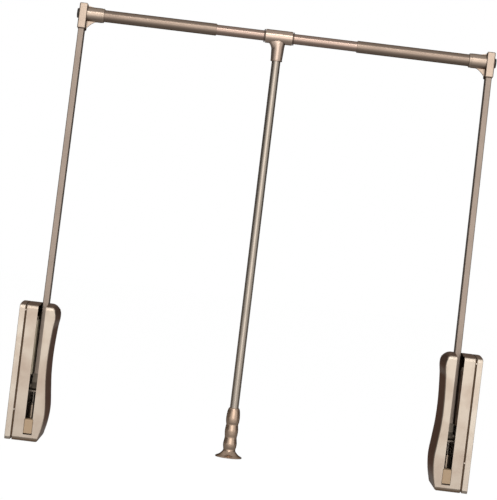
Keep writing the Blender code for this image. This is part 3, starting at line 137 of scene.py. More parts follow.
class Axis(Enum):
    """The axis that a turned or drawn shape runs along."""

    X = "x"
    Y = "y"
    Z = "z"

    def point(self, station: float, first: float, second: float) -> Vector:
        """Return a point from a place along the axis and the two places across it.

        Args:
            station: Place along the axis.
            first: Place along the next axis in X, Y, Z order.
            second: Place along the axis after that.

        Returns:
            The point.
        """
        if self is Axis.X:
            return Vector((station, first, second))
        if self is Axis.Y:
            return Vector((second, station, first))
        return Vector((first, second, station))


@dataclass(frozen=True)
class Layout:
    """The sizes that place the sub-assemblies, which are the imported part's own."""

    opening: float = 932.0 * MM
    arm_from_wall: float = 45.0 * MM
    arm_length: float = 771.0 * MM
    lean: float = math.radians(4.5)
    tee_x: float = 450.0 * MM
    rack_travel: float = 25.133 * MM
    wall_screws: tuple[Pair, ...] = ((8.0 * MM, 130.0 * MM), (8.0 * MM, -74.0 * MM))

    @property
    def bar_y(self) -> float:
        """How far behind the pivots the bar's axis lies."""
        return self.arm_length * math.sin(self.lean)

    @property
    def bar_z(self) -> float:
        """How far above the pivots the bar's axis lies."""
        return self.arm_length * math.cos(self.lean)

    def unit(self, hand: Hand) -> Matrix:
        """Return the matrix of a side unit, whose own X runs inwards from its wall.

        Args:
            hand: Which end.

        Returns:
            The matrix from the unit's own frame to the row's frame.
        """
        wall = 0.0 if hand is Hand.LEFT else self.opening
        return Matrix.Translation((wall, 0.0, 0.0)) @ Matrix.Diagonal((hand.inward, 1.0, 1.0, 1.0))

    def arm(self, hand: Hand) -> Matrix:
        """Return the matrix of an arm, whose own Z runs up the leaning arm from its pivot.

        Args:
            hand: Which end.

        Returns:
            The matrix from the arm's own frame to the row's frame.
        """
        place = Matrix.Translation((self.arm_from_wall, 0.0, 0.0))
        return self.unit(hand) @ place @ Matrix.Rotation(-self.lean, 4, "X")

    def bar(self) -> Matrix:
        """Return the matrix of the bar's middle, whose own X runs along the bar."""
        place = Matrix.Translation((self.opening / 2, self.bar_y, self.bar_z))
        return place @ Matrix.Rotation(-self.lean, 4, "X")

    def handle(self) -> Matrix:
        """Return the matrix of the handle, which hangs plumb from the bar's axis."""
        return Matrix.Translation((self.tee_x, self.bar_y, self.bar_z))


LAYOUT = Layout()


class Sketch:
    """A short way to lay nodes in a shader or geometry tree."""

    def __init__(self, tree: Tree) -> None:
        """Keep the tree.

        Args:
            tree: The tree that the nodes go into.
        """
        self.tree = tree

    def put(
        self, kind: str, inputs: dict[str | int, object] | None = None, **settings: object,
    ) -> Node:
        """Add a node, then set its settings and its inputs.

        Args:
            kind: The node's type name.
            inputs: Value or source socket of each input, by name or by number.
            **settings: The node's own properties.

        Returns:
            The node.
        """
        node = self.tree.nodes.new(kind)
        for name, value in settings.items():
            setattr(node, name, value)
        for key, value in (inputs or {}).items():
            socket = node.inputs[key]
            if isinstance(value, Socket):
                self.tree.links.new(value, socket)
            else:
                socket.default_value = value
        return node

    def made(self, kind: str, inputs: dict[str | int, object] | None = None, **settings: object) -> Socket:
        """Add a node as put does, and return its first output."""
        return self.put(kind, inputs, **settings).outputs[0]

    def math(self, operation: str, first: object, second: object = 0.0) -> Socket:
        """Add a Math node.

        Args:
            operation: The operation's name.
            first: First value or socket.
            second: Second value or socket.

        Returns:
            The result's socket.
        """
        return self.made("ShaderNodeMath", {0: first, 1: second}, operation=operation)

    def span(
        self, value: object, low: object, high: object, start: object = 0.0, end: object = 1.0,
    ) -> Socket:
        """Add a clamped Map Range node.

        Args:
            value: The value to map.
            low: Where the range that is read begins.
            high: Where it ends.
            start: The result at low.
            end: The result at high.

        Returns:
            The result's socket.
        """
        inputs = {"Value": value, "From Min": low, "From Max": high, "To Min": start, "To Max": end}
        return self.made("ShaderNodeMapRange", inputs, clamp=True)

    def noise(self, place: object, scale: object, detail: float, roughness: float = 0.5) -> Socket:
        """Add a Noise Texture.

        Args:
            place: Where it is looked up.
            scale: How fine it is.
            detail: How many layers it has.
            roughness: How strong the finer layers are.

        Returns:
            The value's socket.
        """
        inputs = {"Vector": place, "Scale": scale, "Detail": detail, "Roughness": roughness}
        return self.made("ShaderNodeTexNoise", inputs)

    def dot(self, first: object, second: object) -> Socket:
        """Add a Vector Math node for two vectors' dot product."""
        node = self.put("ShaderNodeVectorMath", {0: first, 1: second}, operation="DOT_PRODUCT")
        return node.outputs["Value"]

    def place(self) -> Socket:
        """Add a Texture Coordinate node for the place on the object."""
        return self.put("ShaderNodeTexCoord").outputs["Object"]

    def xyz(self, **places: object) -> Socket:
        """Add a Combine XYZ node and return its vector."""
        return self.made("ShaderNodeCombineXYZ", places)

    def blend(self, share: object, first: object, second: object, mode: str = "MIX") -> Socket:
        """Add a colour Mix node.

        Args:
            share: How much of the second colour.
            first: First colour or socket.
            second: Second colour or socket.
            mode: The blend mode's name.

        Returns:
            The colour's socket.
        """
        node = self.put("ShaderNodeMix", {0: share, 6: first, 7: second}, data_type="RGBA", blend_type=mode)
        return node.outputs[2]


def rgba(colour: Colour) -> tuple[float, float, float, float]:
    """Return a colour with full alpha."""
    return (*colour, 1.0)


SOCKET_KINDS = {float: "Float", int: "Int", bool: "Bool", tuple: "Vector"}


def add_sockets(tree: Tree, direction: str, sockets: dict[str, object]) -> None:
    """Add named sockets to a group's interface.

    Args:
        tree: The group.
        direction: INPUT or OUTPUT.
        sockets: Default value of each socket, or the name of its kind where it has no default.
    """
    for name, value in sockets.items():
        kind = value if isinstance(value, str) else SOCKET_KINDS[type(value)]
        socket = tree.interface.new_socket(name=name, in_out=direction, socket_type=f"NodeSocket{kind}")
        if not isinstance(value, str):
            socket.default_value = value


def emptied(item: bpy.types.Material | bpy.types.World) -> Sketch:
    """Turn on a material's or a world's nodes and empty them.

    Args:
        item: The material or the world.

    Returns:
        A sketch of its tree.
    """
    item.use_nodes = True
    item.node_tree.nodes.clear()
    return Sketch(item.node_tree)


class ShaderParts:
    """The shader groups that several finishes share, each built once."""

    def __init__(self) -> None:
        """Build the groups."""
        self.drawn_lines = self._drawn_lines()
        self.handling = self._handling()
        self.orange_peel = self._orange_peel()
        self.edge_shine = self._edge_shine()

    def _group(self, name: str, **inputs: object) -> tuple[Sketch, Sockets]:
        """Begin a shader group.

        Args:
            name: The group's name.
            **inputs: Default of each input.

        Returns:
            The group's sketch and its inputs.
        """
        sketch = Sketch(bpy.data.node_groups.new(name, "ShaderNodeTree"))
        add_sockets(sketch.tree, "INPUT", inputs)
        return sketch, sketch.put("NodeGroupInput").outputs

    def _close(self, sketch: Sketch, **results: Socket) -> Tree:
        """End a shader group.

        Args:
            sketch: The group's sketch.
            **results: What each output gives.

        Returns:
            The group.
        """
        add_sockets(sketch.tree, "OUTPUT", dict.fromkeys(results, "Float"))
        sketch.put("NodeGroupOutput", results)
        return sketch.tree

    def _drawn_lines(self) -> Tree:
        """Build the fine lines that drawing or polishing leaves along a tube.

        Returns:
            The group.
        """
        sketch, given = self._group("drawn_lines", Stretch=(1.0, 1.0, 1.0), Scale=900.0, Strength=0.2)
        inputs = {0: sketch.place(), 1: given["Stretch"]}
        stretched = sketch.made("ShaderNodeVectorMath", inputs, operation="MULTIPLY")
        lines = sketch.noise(stretched, given["Scale"], 3.0, 0.6)
        shade = sketch.math("MULTIPLY", sketch.math("SUBTRACT", lines, 0.5), given["Strength"])
        return self._close(sketch, Lines=lines, Shade=sketch.math("ADD", shade, 1.0))

    def _handling(self) -> Tree:
        """Build the faint uneven patches that hands and dust leave on a finish.

        Returns:
            The group.
        """
        sketch, given = self._group("handling_marks", Scale=22.0, Low=0.42, High=0.72, Specks=1400.0)
        place = sketch.place()
        patches = sketch.span(sketch.noise(place, given["Scale"], 4.0), given["Low"], given["High"])
        specks = sketch.span(sketch.noise(place, given["Specks"], 2.0), 0.62, 0.75)
        return self._close(sketch, Patches=patches, Specks=specks)

    def _orange_peel(self) -> Tree:
        """Build the soft ripple of a lacquered or moulded skin.

        Returns:
            The group.
        """
        sketch, given = self._group("orange_peel", Scale=500.0, Grain=0.3)
        place = sketch.place()
        ripple = sketch.noise(place, given["Scale"], 1.0)
        grain = sketch.noise(place, sketch.math("MULTIPLY", given["Scale"], 5.0), 2.0)
        share = sketch.math("MULTIPLY", grain, given["Grain"])
        return self._close(sketch, Height=sketch.math("ADD", ripple, share))

    def _edge_shine(self) -> Tree:
        """Build the mask of worn or polished edges.

        Returns:
            The group.
        """
        sketch, given = self._group("edge_shine", Radius=0.0008, Gain=3.0)
        bevel = sketch.made("ShaderNodeBevel", {"Radius": given["Radius"]}, samples=4)
        normal = sketch.put("ShaderNodeNewGeometry").outputs["Normal"]
        away = sketch.math("SUBTRACT", 1.0, sketch.dot(bevel, normal))
        return self._close(sketch, Edge=sketch.span(sketch.math("MULTIPLY", away, given["Gain"]), 0.0, 1.0))


class Grain(Enum):
    """Which way a finish is drawn or polished, as a stretch of the noise along X, Y and Z."""

    ALONG_BAR = (0.02, 1.0, 1.0)
    UPRIGHT = (1.0, 1.0, 0.02)
    EVEN = (1.0, 1.0, 1.0)


@dataclass(frozen=True)
class Finish:
    """A surface finish and the material that it makes.

    The edge tint is the colour of a metal's reflection at a glancing angle. The deep colour is painted shade:
    it is blended in, and the finish is made non-metallic, where the mesh's recess attribute, a painted shade
    mask, is 1. The tone is what patches of the finish are multiplied by. The slot is the record's material
    slot, where it isn't the finish's own name.
    """

    name: str
    colour: Colour
    roughness: float
    metallic: float = 0.0
    edge_tint: Colour = WHITE
    grain: Grain = Grain.EVEN
    line_strength: float = 0.1
    patch_strength: float = 0.05
    peel_grain: float = 0.3
    peel_bump: float = 0.05
    shine: float = 0.25
    speck: float = 0.0
    # The deep colour is painted shade.
    deep: Colour | None = None
    tone: Colour = WHITE
    slot: str = ""

    def build(self, parts: ShaderParts) -> bpy.types.Material:
        """Build the material.

        Args:
            parts: The shared shader groups.

        Returns:
            The material.
        """
        material = bpy.data.materials.new(self.name)
        sketch = emptied(material)
        lines = {"Stretch": self.grain.value, "Strength": self.line_strength}
        drawn = sketch.put("ShaderNodeGroup", lines, node_tree=parts.drawn_lines).outputs
        marks = sketch.put("ShaderNodeGroup", node_tree=parts.handling).outputs
        peel = sketch.made("ShaderNodeGroup", {"Grain": self.peel_grain}, node_tree=parts.orange_peel)
        edges = sketch.made("ShaderNodeGroup", node_tree=parts.edge_shine)

        patch_shade = sketch.math("MULTIPLY", marks["Patches"], -self.patch_strength)
        shade = sketch.math("ADD", drawn["Shade"], patch_shade)
        base = sketch.made("ShaderNodeVectorMath", {0: self.colour, "Scale": shade}, operation="SCALE")
        polished = tuple(min(1.0, value * POLISH_GAIN + POLISH_LIFT) for value in self.colour)
        worn = sketch.blend(sketch.math("MULTIPLY", edges, self.shine), base, rgba(polished))
        dusty = sketch.blend(sketch.math("MULTIPLY", marks["Specks"], self.speck), worn, rgba(DUST))
        toned = sketch.blend(marks["Patches"], dusty, rgba(self.tone), "MULTIPLY")
        metallic = self.metallic
        # Painted shade: the recess attribute blends in the deep colour and takes the metal away where faces
        # are meant to lie in shade.
        if self.deep is not None:
            recess = sketch.put("ShaderNodeAttribute", attribute_name="recess").outputs["Fac"]
            toned = sketch.blend(recess, toned, rgba(self.deep))
            metallic = sketch.span(recess, 0.0, 1.0, self.metallic, 0.0)

        rough = sketch.math("ADD", self.roughness, sketch.math("MULTIPLY", marks["Patches"], PATCH_ROUGHNESS))
        drawn_rough = sketch.math("MULTIPLY", sketch.math("SUBTRACT", drawn["Lines"], 0.5), LINE_ROUGHNESS)
        inputs = {"Strength": self.peel_bump, "Distance": PEEL_DEPTH, "Height": peel}
        bump = sketch.made("ShaderNodeBump", inputs)
        shader = sketch.made("ShaderNodeBsdfPrincipled", {
            "Base Color": toned, "Roughness": sketch.math("ADD", rough, drawn_rough), "Metallic": metallic,
            "Specular Tint": rgba(self.edge_tint), "Normal": bump,
        })
        sketch.put("ShaderNodeOutputMaterial", {"Surface": shader})
        material.diffuse_color = rgba(self.colour)
        return material


# The ripple's depth, how a worn edge brightens a colour, and what patches and lines add to roughness.
PEEL_DEPTH = 0.0004
POLISH_GAIN = 1.35
POLISH_LIFT = 0.03
PATCH_ROUGHNESS = 0.06
LINE_ROUGHNESS = 0.12
DUST: Colour = (0.75, 0.70, 0.62)
DARK: Colour = (0.0, 0.0, 0.0)
BROWN_EDGE: Colour = (0.16, 0.04, 0.0)
# PAINTED_SHADE is painted shade: the dark brown that the recess mask blends into seams, insides, undersides
# and tops.
PAINTED_SHADE: Colour = (0.17, 0.115, 0.075)
PINKISH: Colour = (1.0, 0.93, 0.90)
FINISHES = (
    Finish(
        "cover_plastic", (0.55, 0.465, 0.38), 0.34, 1.0, BROWN_EDGE,
        patch_strength=0.14, peel_bump=0.06, deep=PAINTED_SHADE, tone=PINKISH,
    ),
    Finish(
        "base_plastic", (0.62, 0.54, 0.45), 0.34, 1.0, BROWN_EDGE,
        patch_strength=0.12, peel_bump=0.06, deep=PAINTED_SHADE, tone=PINKISH,
    ),
    Finish("bronze_tube", (0.315, 0.25, 0.205), 0.34, 0.7, DARK, grain=Grain.UPRIGHT),
    Finish("bronze_bar", (0.305, 0.23, 0.18), 0.34, 1.0, DARK, grain=Grain.ALONG_BAR, slot="bronze_tube"),
    Finish("bright_tube", (0.40, 0.29, 0.235), 0.25, 1.0, DARK, grain=Grain.ALONG_BAR),
    Finish("pull_rod", (0.42, 0.36, 0.30), 0.22, 1.0, DARK, grain=Grain.UPRIGHT, slot="bright_tube"),
    Finish("cast_fitting", (0.45, 0.35, 0.275), 0.3, 1.0, DARK, peel_bump=0.1, peel_grain=0.6, deep=PAINTED_SHADE),
    Finish(
        "tee_cast", (0.53, 0.405, 0.325), 0.24, 1.0, DARK,
        peel_bump=0.08, peel_grain=0.6, slot="cast_fitting",
    ),
    Finish("dark_ring", (0.15, 0.11, 0.085), 0.3, 0.6, (0.2, 0.15, 0.1), slot="cast_fitting"),
    Finish("grip_plastic", (0.53, 0.385, 0.285), 0.25, 1.0, DARK, peel_bump=0.05),
    Finish("steel", (0.21, 0.175, 0.14), 0.35, 1.0, (0.3, 0.28, 0.25), line_strength=0.25, peel_bump=0.1),
    Finish("spring_steel", (0.36, 0.31, 0.26), 0.3, 1.0, (0.3, 0.25, 0.2), line_strength=0.2),
    # A darker copy of the bronze tube for the arm's root inside the casing: painted shade.
    Finish("painted_shade_bronze", (0.20, 0.165, 0.13), 0.38, 0.8, DARK, grain=Grain.UPRIGHT, slot="bronze_tube"),
    Finish("cup_metal", (0.42, 0.33, 0.25), 0.3, 0.9, (0.2, 0.15, 0.1), grain=Grain.UPRIGHT),
    Finish("dark_plastic", (0.035, 0.028, 0.024), 0.42, peel_bump=0.15, peel_grain=0.8, speck=0.1),
    Finish("damper_skin", (0.50, 0.41, 0.31), 0.4, 0.3, (0.3, 0.25, 0.2), slot="dark_plastic"),
    # A dark copy of the liner for the right hand: painted shade.
    Finish("painted_shade_liner", (0.16, 0.09, 0.05), 0.45, peel_bump=0.08, slot="dark_plastic"),
    Finish("liner", (0.88, 0.76, 0.56), 0.45, peel_bump=0.08, slot="nylon"),
    Finish("nylon", (0.42, 0.37, 0.29), 0.5, peel_bump=0.1, speck=0.05),
    Finish("buffer", (0.63, 0.44, 0.27), 0.5, peel_bump=0.12, peel_grain=0.7, shine=0.5),
    Finish("rubber", (0.04, 0.04, 0.04), 0.75, peel_bump=0.3, peel_grain=1.0, speck=0.15),
)


class ShapeTrees:
    """The Geometry Nodes trees for the tubes, the springs and the screws."""

    def __init__(self) -> None:
        """Build the trees."""
        self.walled_section = self._walled_section()
        self.coil = self._coil()
        self.screw_set = self._screw_set()

    def _tree(self, name: str, sizes: dict[str, object]) -> tuple[Sketch, Sockets]:
        """Begin a tree with a geometry input, named sizes, and a Finish material input.

        Args:
            name: The tree's name.
            sizes: Default of each size.

        Returns:
            The tree's sketch and its inputs.
        """
        sketch = Sketch(bpy.data.node_groups.new(name, "GeometryNodeTree"))
        add_sockets(sketch.tree, "INPUT", {"Geometry": "Geometry", **sizes, "Finish": "Material"})
        add_sockets(sketch.tree, "OUTPUT", {"Geometry": "Geometry"})
        return sketch, sketch.put("NodeGroupInput").outputs

    def _end(self, sketch: Sketch, geometry: Socket, finish: Socket) -> Tree:
        """Close a tree with Realize Instances, smooth shading and Set Material.

        Args:
            sketch: The tree's sketch.
            geometry: What the tree has made.
            finish: The tree's Finish input.

        Returns:
            The tree.
        """
        real = sketch.made("GeometryNodeRealizeInstances", {"Geometry": geometry})
        merged = sketch.made("GeometryNodeMergeByDistance", {"Geometry": real, "Distance": 1e-6})
        smooth = sketch.made("GeometryNodeSetShadeSmooth", {"Geometry": merged, "Shade Smooth": True})
        dressed = sketch.made("GeometryNodeSetMaterial", {"Geometry": smooth, "Material": finish})
        sketch.put("NodeGroupOutput", {"Geometry": dressed})
        return sketch.tree

    def _rounded(
        self, sketch: Sketch, width: Socket, height: Socket, steps: object, radius: Socket,
    ) -> Socket:
        """Add a rectangle with rounded corners.

        Args:
            sketch: The tree's sketch.
            width: Its width.
            height: Its height.
            steps: Facets of each corner.
            radius: The corners' radius.

        Returns:
            The curve.
        """
        plain = sketch.made("GeometryNodeCurvePrimitiveQuadrilateral", {"Width": width, "Height": height})
        inputs = {"Curve": plain, "Count": steps, "Radius": radius, "Limit Radius": True}
        return sketch.made("GeometryNodeFilletCurve", inputs, mode="POLY")

    def _walled_section(self) -> Tree:
        """Build a tube along Z: a wall swept round a circle or a rounded rectangle.

        Returns:
            The tree.
        """
        sketch, out = self._tree("walled_section", {
            "Width": 0.02, "Depth": 0.02, "Wall": 0.0015, "Start": 0.0, "Length": 0.1,
            "Corner": 0.005, "Lip": 0.0003, "Round": True, "Sides": 64,
        })
        narrow = sketch.math("SUBTRACT", out["Width"], out["Wall"])
        deep = sketch.math("SUBTRACT", out["Depth"], out["Wall"])
        radius = sketch.math("MULTIPLY", narrow, 0.5)
        ring = sketch.made("GeometryNodeCurvePrimitiveCircle", {"Resolution": out["Sides"], "Radius": radius})
        bend = sketch.math("SUBTRACT", out["Corner"], sketch.math("MULTIPLY", out["Wall"], 0.5))
        oval = self._rounded(sketch, narrow, deep, sketch.math("MULTIPLY", out["Sides"], 0.25), bend)
        either = {"Switch": out["Round"], "False": oval, "True": ring}
        path = sketch.made("GeometryNodeSwitch", either, input_type="GEOMETRY")
        upright = sketch.made("GeometryNodeSetCurveNormal", {"Curve": path}, mode="Z_UP")
        wall = self._rounded(sketch, out["Wall"], out["Length"], 4, out["Lip"])
        swept = sketch.made("GeometryNodeCurveToMesh", {"Curve": upright, "Profile Curve": wall})
        middle = sketch.math("ADD", out["Start"], sketch.math("MULTIPLY", out["Length"], 0.5))
        lift = sketch.xyz(Z=middle)
        placed = sketch.made("GeometryNodeTransform", {"Geometry": swept, "Translation": lift})
        return self._end(sketch, placed, out["Finish"])

    def _coil(self) -> Tree:
        """Build a compression spring along Z, with a closed curl at each end.

        Returns:
            The tree.
        """
        sketch, out = self._tree("coil_spring", {
            "Radius": 0.005, "Wire": 0.0018, "Start": 0.0, "Length": 0.07,
            "Curls": 9.0, "Closed": 1.0, "Points": 200,
        })
        line = sketch.made("GeometryNodeCurvePrimitiveLine", {"End": (0.0, 0.0, 1.0)})
        fine = sketch.made("GeometryNodeResampleCurve", {"Curve": line, "Count": out["Points"]})
        share = sketch.put("GeometryNodeSplineParameter").outputs["Factor"]
        turn = sketch.math("MULTIPLY", sketch.math("MULTIPLY", share, out["Curls"]), math.tau)
        x = sketch.math("MULTIPLY", sketch.math("COSINE", turn), out["Radius"])
        y = sketch.math("MULTIPLY", sketch.math("SINE", turn), out["Radius"])
        closed = sketch.math("DIVIDE", out["Closed"], out["Curls"])
        opened = sketch.math("SUBTRACT", 1.0, closed)
        thick = sketch.math("MULTIPLY", out["Wire"], sketch.math("MULTIPLY", out["Closed"], 1.02))
        foot = sketch.span(share, 0.0, closed, 0.0, thick)
        head = sketch.span(share, opened, 1.0, 0.0, thick)
        free = sketch.math("SUBTRACT", out["Length"], out["Wire"])
        rise = sketch.math("SUBTRACT", free, sketch.math("MULTIPLY", thick, 2.0))
        middle = sketch.span(share, closed, opened, 0.0, rise)
        level = sketch.math("ADD", sketch.math("ADD", foot, head), middle)
        half = sketch.math("MULTIPLY", out["Wire"], 0.5)
        place = sketch.xyz(X=x, Y=y, Z=sketch.math("ADD", sketch.math("ADD", out["Start"], half), level))
        wound = sketch.made("GeometryNodeSetPosition", {"Geometry": fine, "Position": place})
        wire = sketch.made("GeometryNodeCurvePrimitiveCircle", {"Resolution": 12, "Radius": half})
        sweep = {"Curve": wound, "Profile Curve": wire, "Fill Caps": True}
        return self._end(sketch, sketch.made("GeometryNodeCurveToMesh", sweep), out["Finish"])

    def _screw_set(self) -> Tree:
        """Build one screw on each of the points it is given.

        Returns:
            The tree.
        """
        sketch, given = self._tree("screw_set", {"Screw": "Object", "Turn": 0.35})
        screw = sketch.put("GeometryNodeObjectInfo", {"Object": given["Screw"]}).outputs["Geometry"]
        order = sketch.made("GeometryNodeInputIndex")
        turn = sketch.xyz(Z=sketch.math("MULTIPLY", order, given["Turn"]))
        rotation = sketch.made("FunctionNodeEulerToRotation", {"Euler": turn})
        points = sketch.made("GeometryNodeMeshToPoints", {"Mesh": given["Geometry"]})
        inputs = {"Points": points, "Instance": screw, "Rotation": rotation}
        return self._end(sketch, sketch.made("GeometryNodeInstanceOnPoints", inputs), given["Finish"])


def linked(name: str, data: bpy.types.ID) -> bpy.types.Object:
    """Make an object and put it in the scene.

    Args:
        name: Its name.
        data: Its mesh, lamp or camera.

    Returns:
        The object.
    """
    item = bpy.data.objects.new(name, data)
    bpy.context.scene.collection.objects.link(item)
    return item


def discard(item: bpy.types.Object) -> None:
    """Remove an object and its mesh.

    Args:
        item: The object.
    """
    mesh = item.data
    bpy.data.objects.remove(item, do_unlink=True)
    bpy.data.meshes.remove(mesh)


def plain(holder: bpy.types.Object) -> Mesh:
    """Return what an object's modifiers make of it, and discard the object.

    Args:
        holder: The object.

    Returns:
        The plain mesh.
    """
    bpy.context.view_layer.update()
    evaluated = holder.evaluated_get(bpy.context.evaluated_depsgraph_get())
    mesh = bpy.data.meshes.new_from_object(evaluated)
    discard(holder)
    return mesh


def run_tree(
    tree: Tree, sizes: dict[str, object], finish: bpy.types.Material, points: Sequence[Vector] = (),
) -> Mesh:
    """Run a Geometry Nodes tree once and return what it makes as a plain mesh.

    Args:
        tree: The tree.
        sizes: Value of each named input.
        finish: The material that the tree sets.
        points: Points that the tree is given to work on.

    Returns:
        The mesh.
    """
    seed = bpy.data.meshes.new("seed")
    seed.from_pydata([tuple(point) for point in points], [], [])
    holder = linked("holder", seed)
    modifier = holder.modifiers.new("shape", "NODES")
    modifier.node_group = tree
    named = {item.name: item.identifier for item in tree.interface.items_tree if item.in_out == "INPUT"}
    for name, value in {**sizes, "Finish": finish}.items():
        modifier[named[name]] = value
    return plain(holder)


def close_rings(rings: Sequence[Ring], loop: bool = False) -> Mesh:
    """Join rings of equal length into a closed skin.

    Args:
        rings: The rings in order.
        loop: Whether the last ring joins the first, in place of two end faces.

    Returns:
        The mesh, with its faces outwards.
    """
    work = bmesh.new()
    rows = [[work.verts.new(point) for point in ring] for ring in rings]
    count = len(rows[0])
    pairs = list(zip(rows, rows[1:]))
    if loop:
        pairs.append((rows[-1], rows[0]))
    for near, far in pairs:
        for i in range(count):
            j = (i + 1) % count
            work.faces.new((near[i], near[j], far[j], far[i]))
    if not loop:
        work.faces.new(rows[0])
        work.faces.new(rows[-1])
    return seal(work)


def seal(work: bmesh.types.BMesh) -> Mesh:
    """Merge a bmesh's doubles, turn its faces outwards and make it a mesh.

    Args:
        work: The bmesh, which is freed.

    Returns:
        The mesh.
    """
    bmesh.ops.remove_doubles(work, verts=work.verts, dist=1e-7)
    bmesh.ops.recalc_face_normals(work, faces=work.faces)
    if work.calc_volume(signed=True) < 0:
        bmesh.ops.reverse_faces(work, faces=work.faces)
    mesh = bpy.data.meshes.new("shape")
    work.to_mesh(mesh)
    work.free()
    return mesh


def clamped(value: float, high: float = 1.0) -> float:
    """Return a value kept between 0 and a highest value."""
    return min(max(value, 0.0), high)


def quarter(steps: int) -> list[float]:
    """Return the angles of a quarter circle's steps, from 0 to a right angle."""
    return [0.5 * math.pi * i / steps for i in range(steps + 1)]


def round_steps(radius: float, steps: int) -> list[Pair]:
    """Return the depth and the inset of each step round a quarter, from the face to the side."""
    return [(radius * (1 - math.cos(angle)), radius * (1 - math.sin(angle))) for angle in quarter(steps)]


def between(start: float, end: float, count: int) -> list[float]:
    """Return the places that divide a span evenly, without its ends."""
    return [start + (end - start) * i / count for i in range(1, count)]


def circle(axis: Axis, station: float, radius: float, sides: int, centre: Pair = (0.0, 0.0)) -> Ring:
    """Return a circle's points.

    Args:
        axis: The axis that the circle is square to.
        station: Place along the axis.
        radius: The radius.
        sides: How many points.
        centre: Place across the axis.

    Returns:
        The points.
    """
    ring = []
    for i in range(sides):
        angle = 2 * math.pi * i / sides
        first = centre[0] + radius * math.cos(angle)
        ring.append(axis.point(station, first, centre[1] + radius * math.sin(angle)))
    return ring


def turned(
    axis: Axis, profile: Sequence[Pair], sides: int = 48, centre: Pair = (0.0, 0.0), bored: bool = False,
) -> Mesh:
    """Return a shape turned on an axis.

    Args:
        axis: The axis.
        profile: Place along the axis and radius of each step.
        sides: How many facets round.
        centre: Place across the axis.
        bored: Whether the profile closes on itself round a bore.

    Returns:
        The mesh.
    """
    return close_rings([circle(axis, place, radius, sides, centre) for place, radius in profile], bored)


def rod(axis: Axis, start: float, end: float, radius: float, sides: int, centre: Pair = (0.0, 0.0)) -> Mesh:
    """Return a plain round rod, mostly to bore a hole with.

    Args:
        axis: The rod's axis.
        start: Where it begins.
        end: Where it ends.
        radius: Its radius.
        sides: How many facets round.
        centre: Place across the axis.

    Returns:
        The mesh.
    """
    return turned(axis, [(start, radius), (end, radius)], sides, centre)


def eased(profile: Sequence[Pair], radius: float, steps: int = 4, closed: bool = False) -> list[Pair]:
    """Round a profile's corners.

    Args:
        profile: The corners in order.
        radius: The round's largest radius.
        steps: Facets of each round.
        closed: Whether the last corner joins the first.

    Returns:
        The rounded profile.
    """
    count = len(profile)
    result: list[Pair] = []
    for i, corner in enumerate(profile):
        if not closed and i in (0, count - 1):
            result.append(corner)
            continue
        here = Vector(corner)
        before = Vector(profile[i - 1]) - here
        after = Vector(profile[(i + 1) % count]) - here
        reach = min(radius, before.length * 0.45, after.length * 0.45)
        start, end = here + before.normalized() * reach, here + after.normalized() * reach
        for k in range(steps + 1):
            share = k / steps
            result.append(tuple(start * (1 - share) ** 2 + here * 2 * share * (1 - share) + end * share**2))
    return result


def smooth_curve(knots: Sequence[Pair], share: float) -> float:
    """Return the height of a smooth curve through knots.

    Args:
        knots: Place and height of each knot.
        share: The place.

    Returns:
        The height.
    """
    index = 0
    while index < len(knots) - 2 and share > knots[index + 1][0]:
        index += 1
    (at0, value0), (at1, value1) = knots[index], knots[index + 1]
    before, after = knots[max(index - 1, 0)], knots[min(index + 2, len(knots) - 1)]
    slope0 = (value1 - before[1]) / (at1 - before[0])
    slope1 = (after[1] - value0) / (after[0] - at0)
    span = at1 - at0
    part = (share - at0) / span
    return (
        (2 * part**3 - 3 * part**2 + 1) * value0
        + (part**3 - 2 * part**2 + part) * span * slope0
        + (3 * part**2 - 2 * part**3) * value1
        + (part**3 - part**2) * span * slope1
    )


def rounded_rectangle(low: Pair, high: Pair, radius: float, steps: int) -> list[Pair]:
    """Return a rectangle's outline with rounded corners.

    Args:
        low: The lowest corner.
        high: The highest corner.
        radius: The corners' radius.
        steps: Facets of each corner.

    Returns:
        The outline.
    """
    corners = (
        (low[0] + radius, low[1] + radius, math.pi),
        (high[0] - radius, low[1] + radius, 1.5 * math.pi),
        (high[0] - radius, high[1] - radius, 0.0),
        (low[0] + radius, high[1] - radius, 0.5 * math.pi),
    )
    points = []
    for a, b, begin in corners:
        for i in range(steps + 1):
            angle = begin + 0.5 * math.pi * i / steps
            points.append((a + radius * math.cos(angle), b + radius * math.sin(angle)))
    return points


def prism(axis: Axis, outline: Sequence[Pair], start: float, end: float) -> Mesh:
    """Return an outline drawn out along an axis.

    Args:
        axis: The axis.
        outline: The outline's points.
        start: Where it begins on the axis.
        end: Where it ends.

    Returns:
        The mesh.
    """
    return close_rings([[axis.point(place, a, b) for a, b in outline] for place in (start, end)])


def block(x_span: Pair, y_span: Pair, z_span: Pair) -> Mesh:
    """Return a square-edged block, used for cutting and as the start of a shape.

    Args:
        x_span: Its two faces along X.
        y_span: Its two faces along Y.
        z_span: Its two faces along Z.

    Returns:
        The mesh.
    """
    (y0, y1), (z0, z1) = y_span, z_span
    return prism(Axis.X, [(y0, z0), (y1, z0), (y1, z1), (y0, z1)], *x_span)


def worked(mesh: Mesh, *steps: tuple[str, dict[str, object]]) -> Mesh:
    """Run modifiers over a mesh and return the plain result.

    Args:
        mesh: The mesh.
        *steps: Type and settings of each modifier.

    Returns:
        The new mesh.
    """
    holder = linked("holder", mesh)
    for kind, settings in steps:
        modifier = holder.modifiers.new(kind, kind)
        for name, value in settings.items():
            setattr(modifier, name, value)
    return plain(holder)


class Cut(Enum):
    """What a second shape does to a first."""

    AWAY = "DIFFERENCE"
    ONTO = "UNION"


def combine(mesh: Mesh, way: Cut, *others: Mesh) -> Mesh:
    """Cut shapes out of a mesh, or join them onto it.

    Args:
        mesh: The mesh.
        way: Which of the two.
        *others: The other shapes.

    Returns:
        The new mesh.
    """
    for other in others:
        tool = linked("tool", other)
        settings = {"operation": way.value, "solver": "EXACT", "object": tool}
        mesh = worked(mesh, ("BOOLEAN", settings))
        discard(tool)
    return mesh


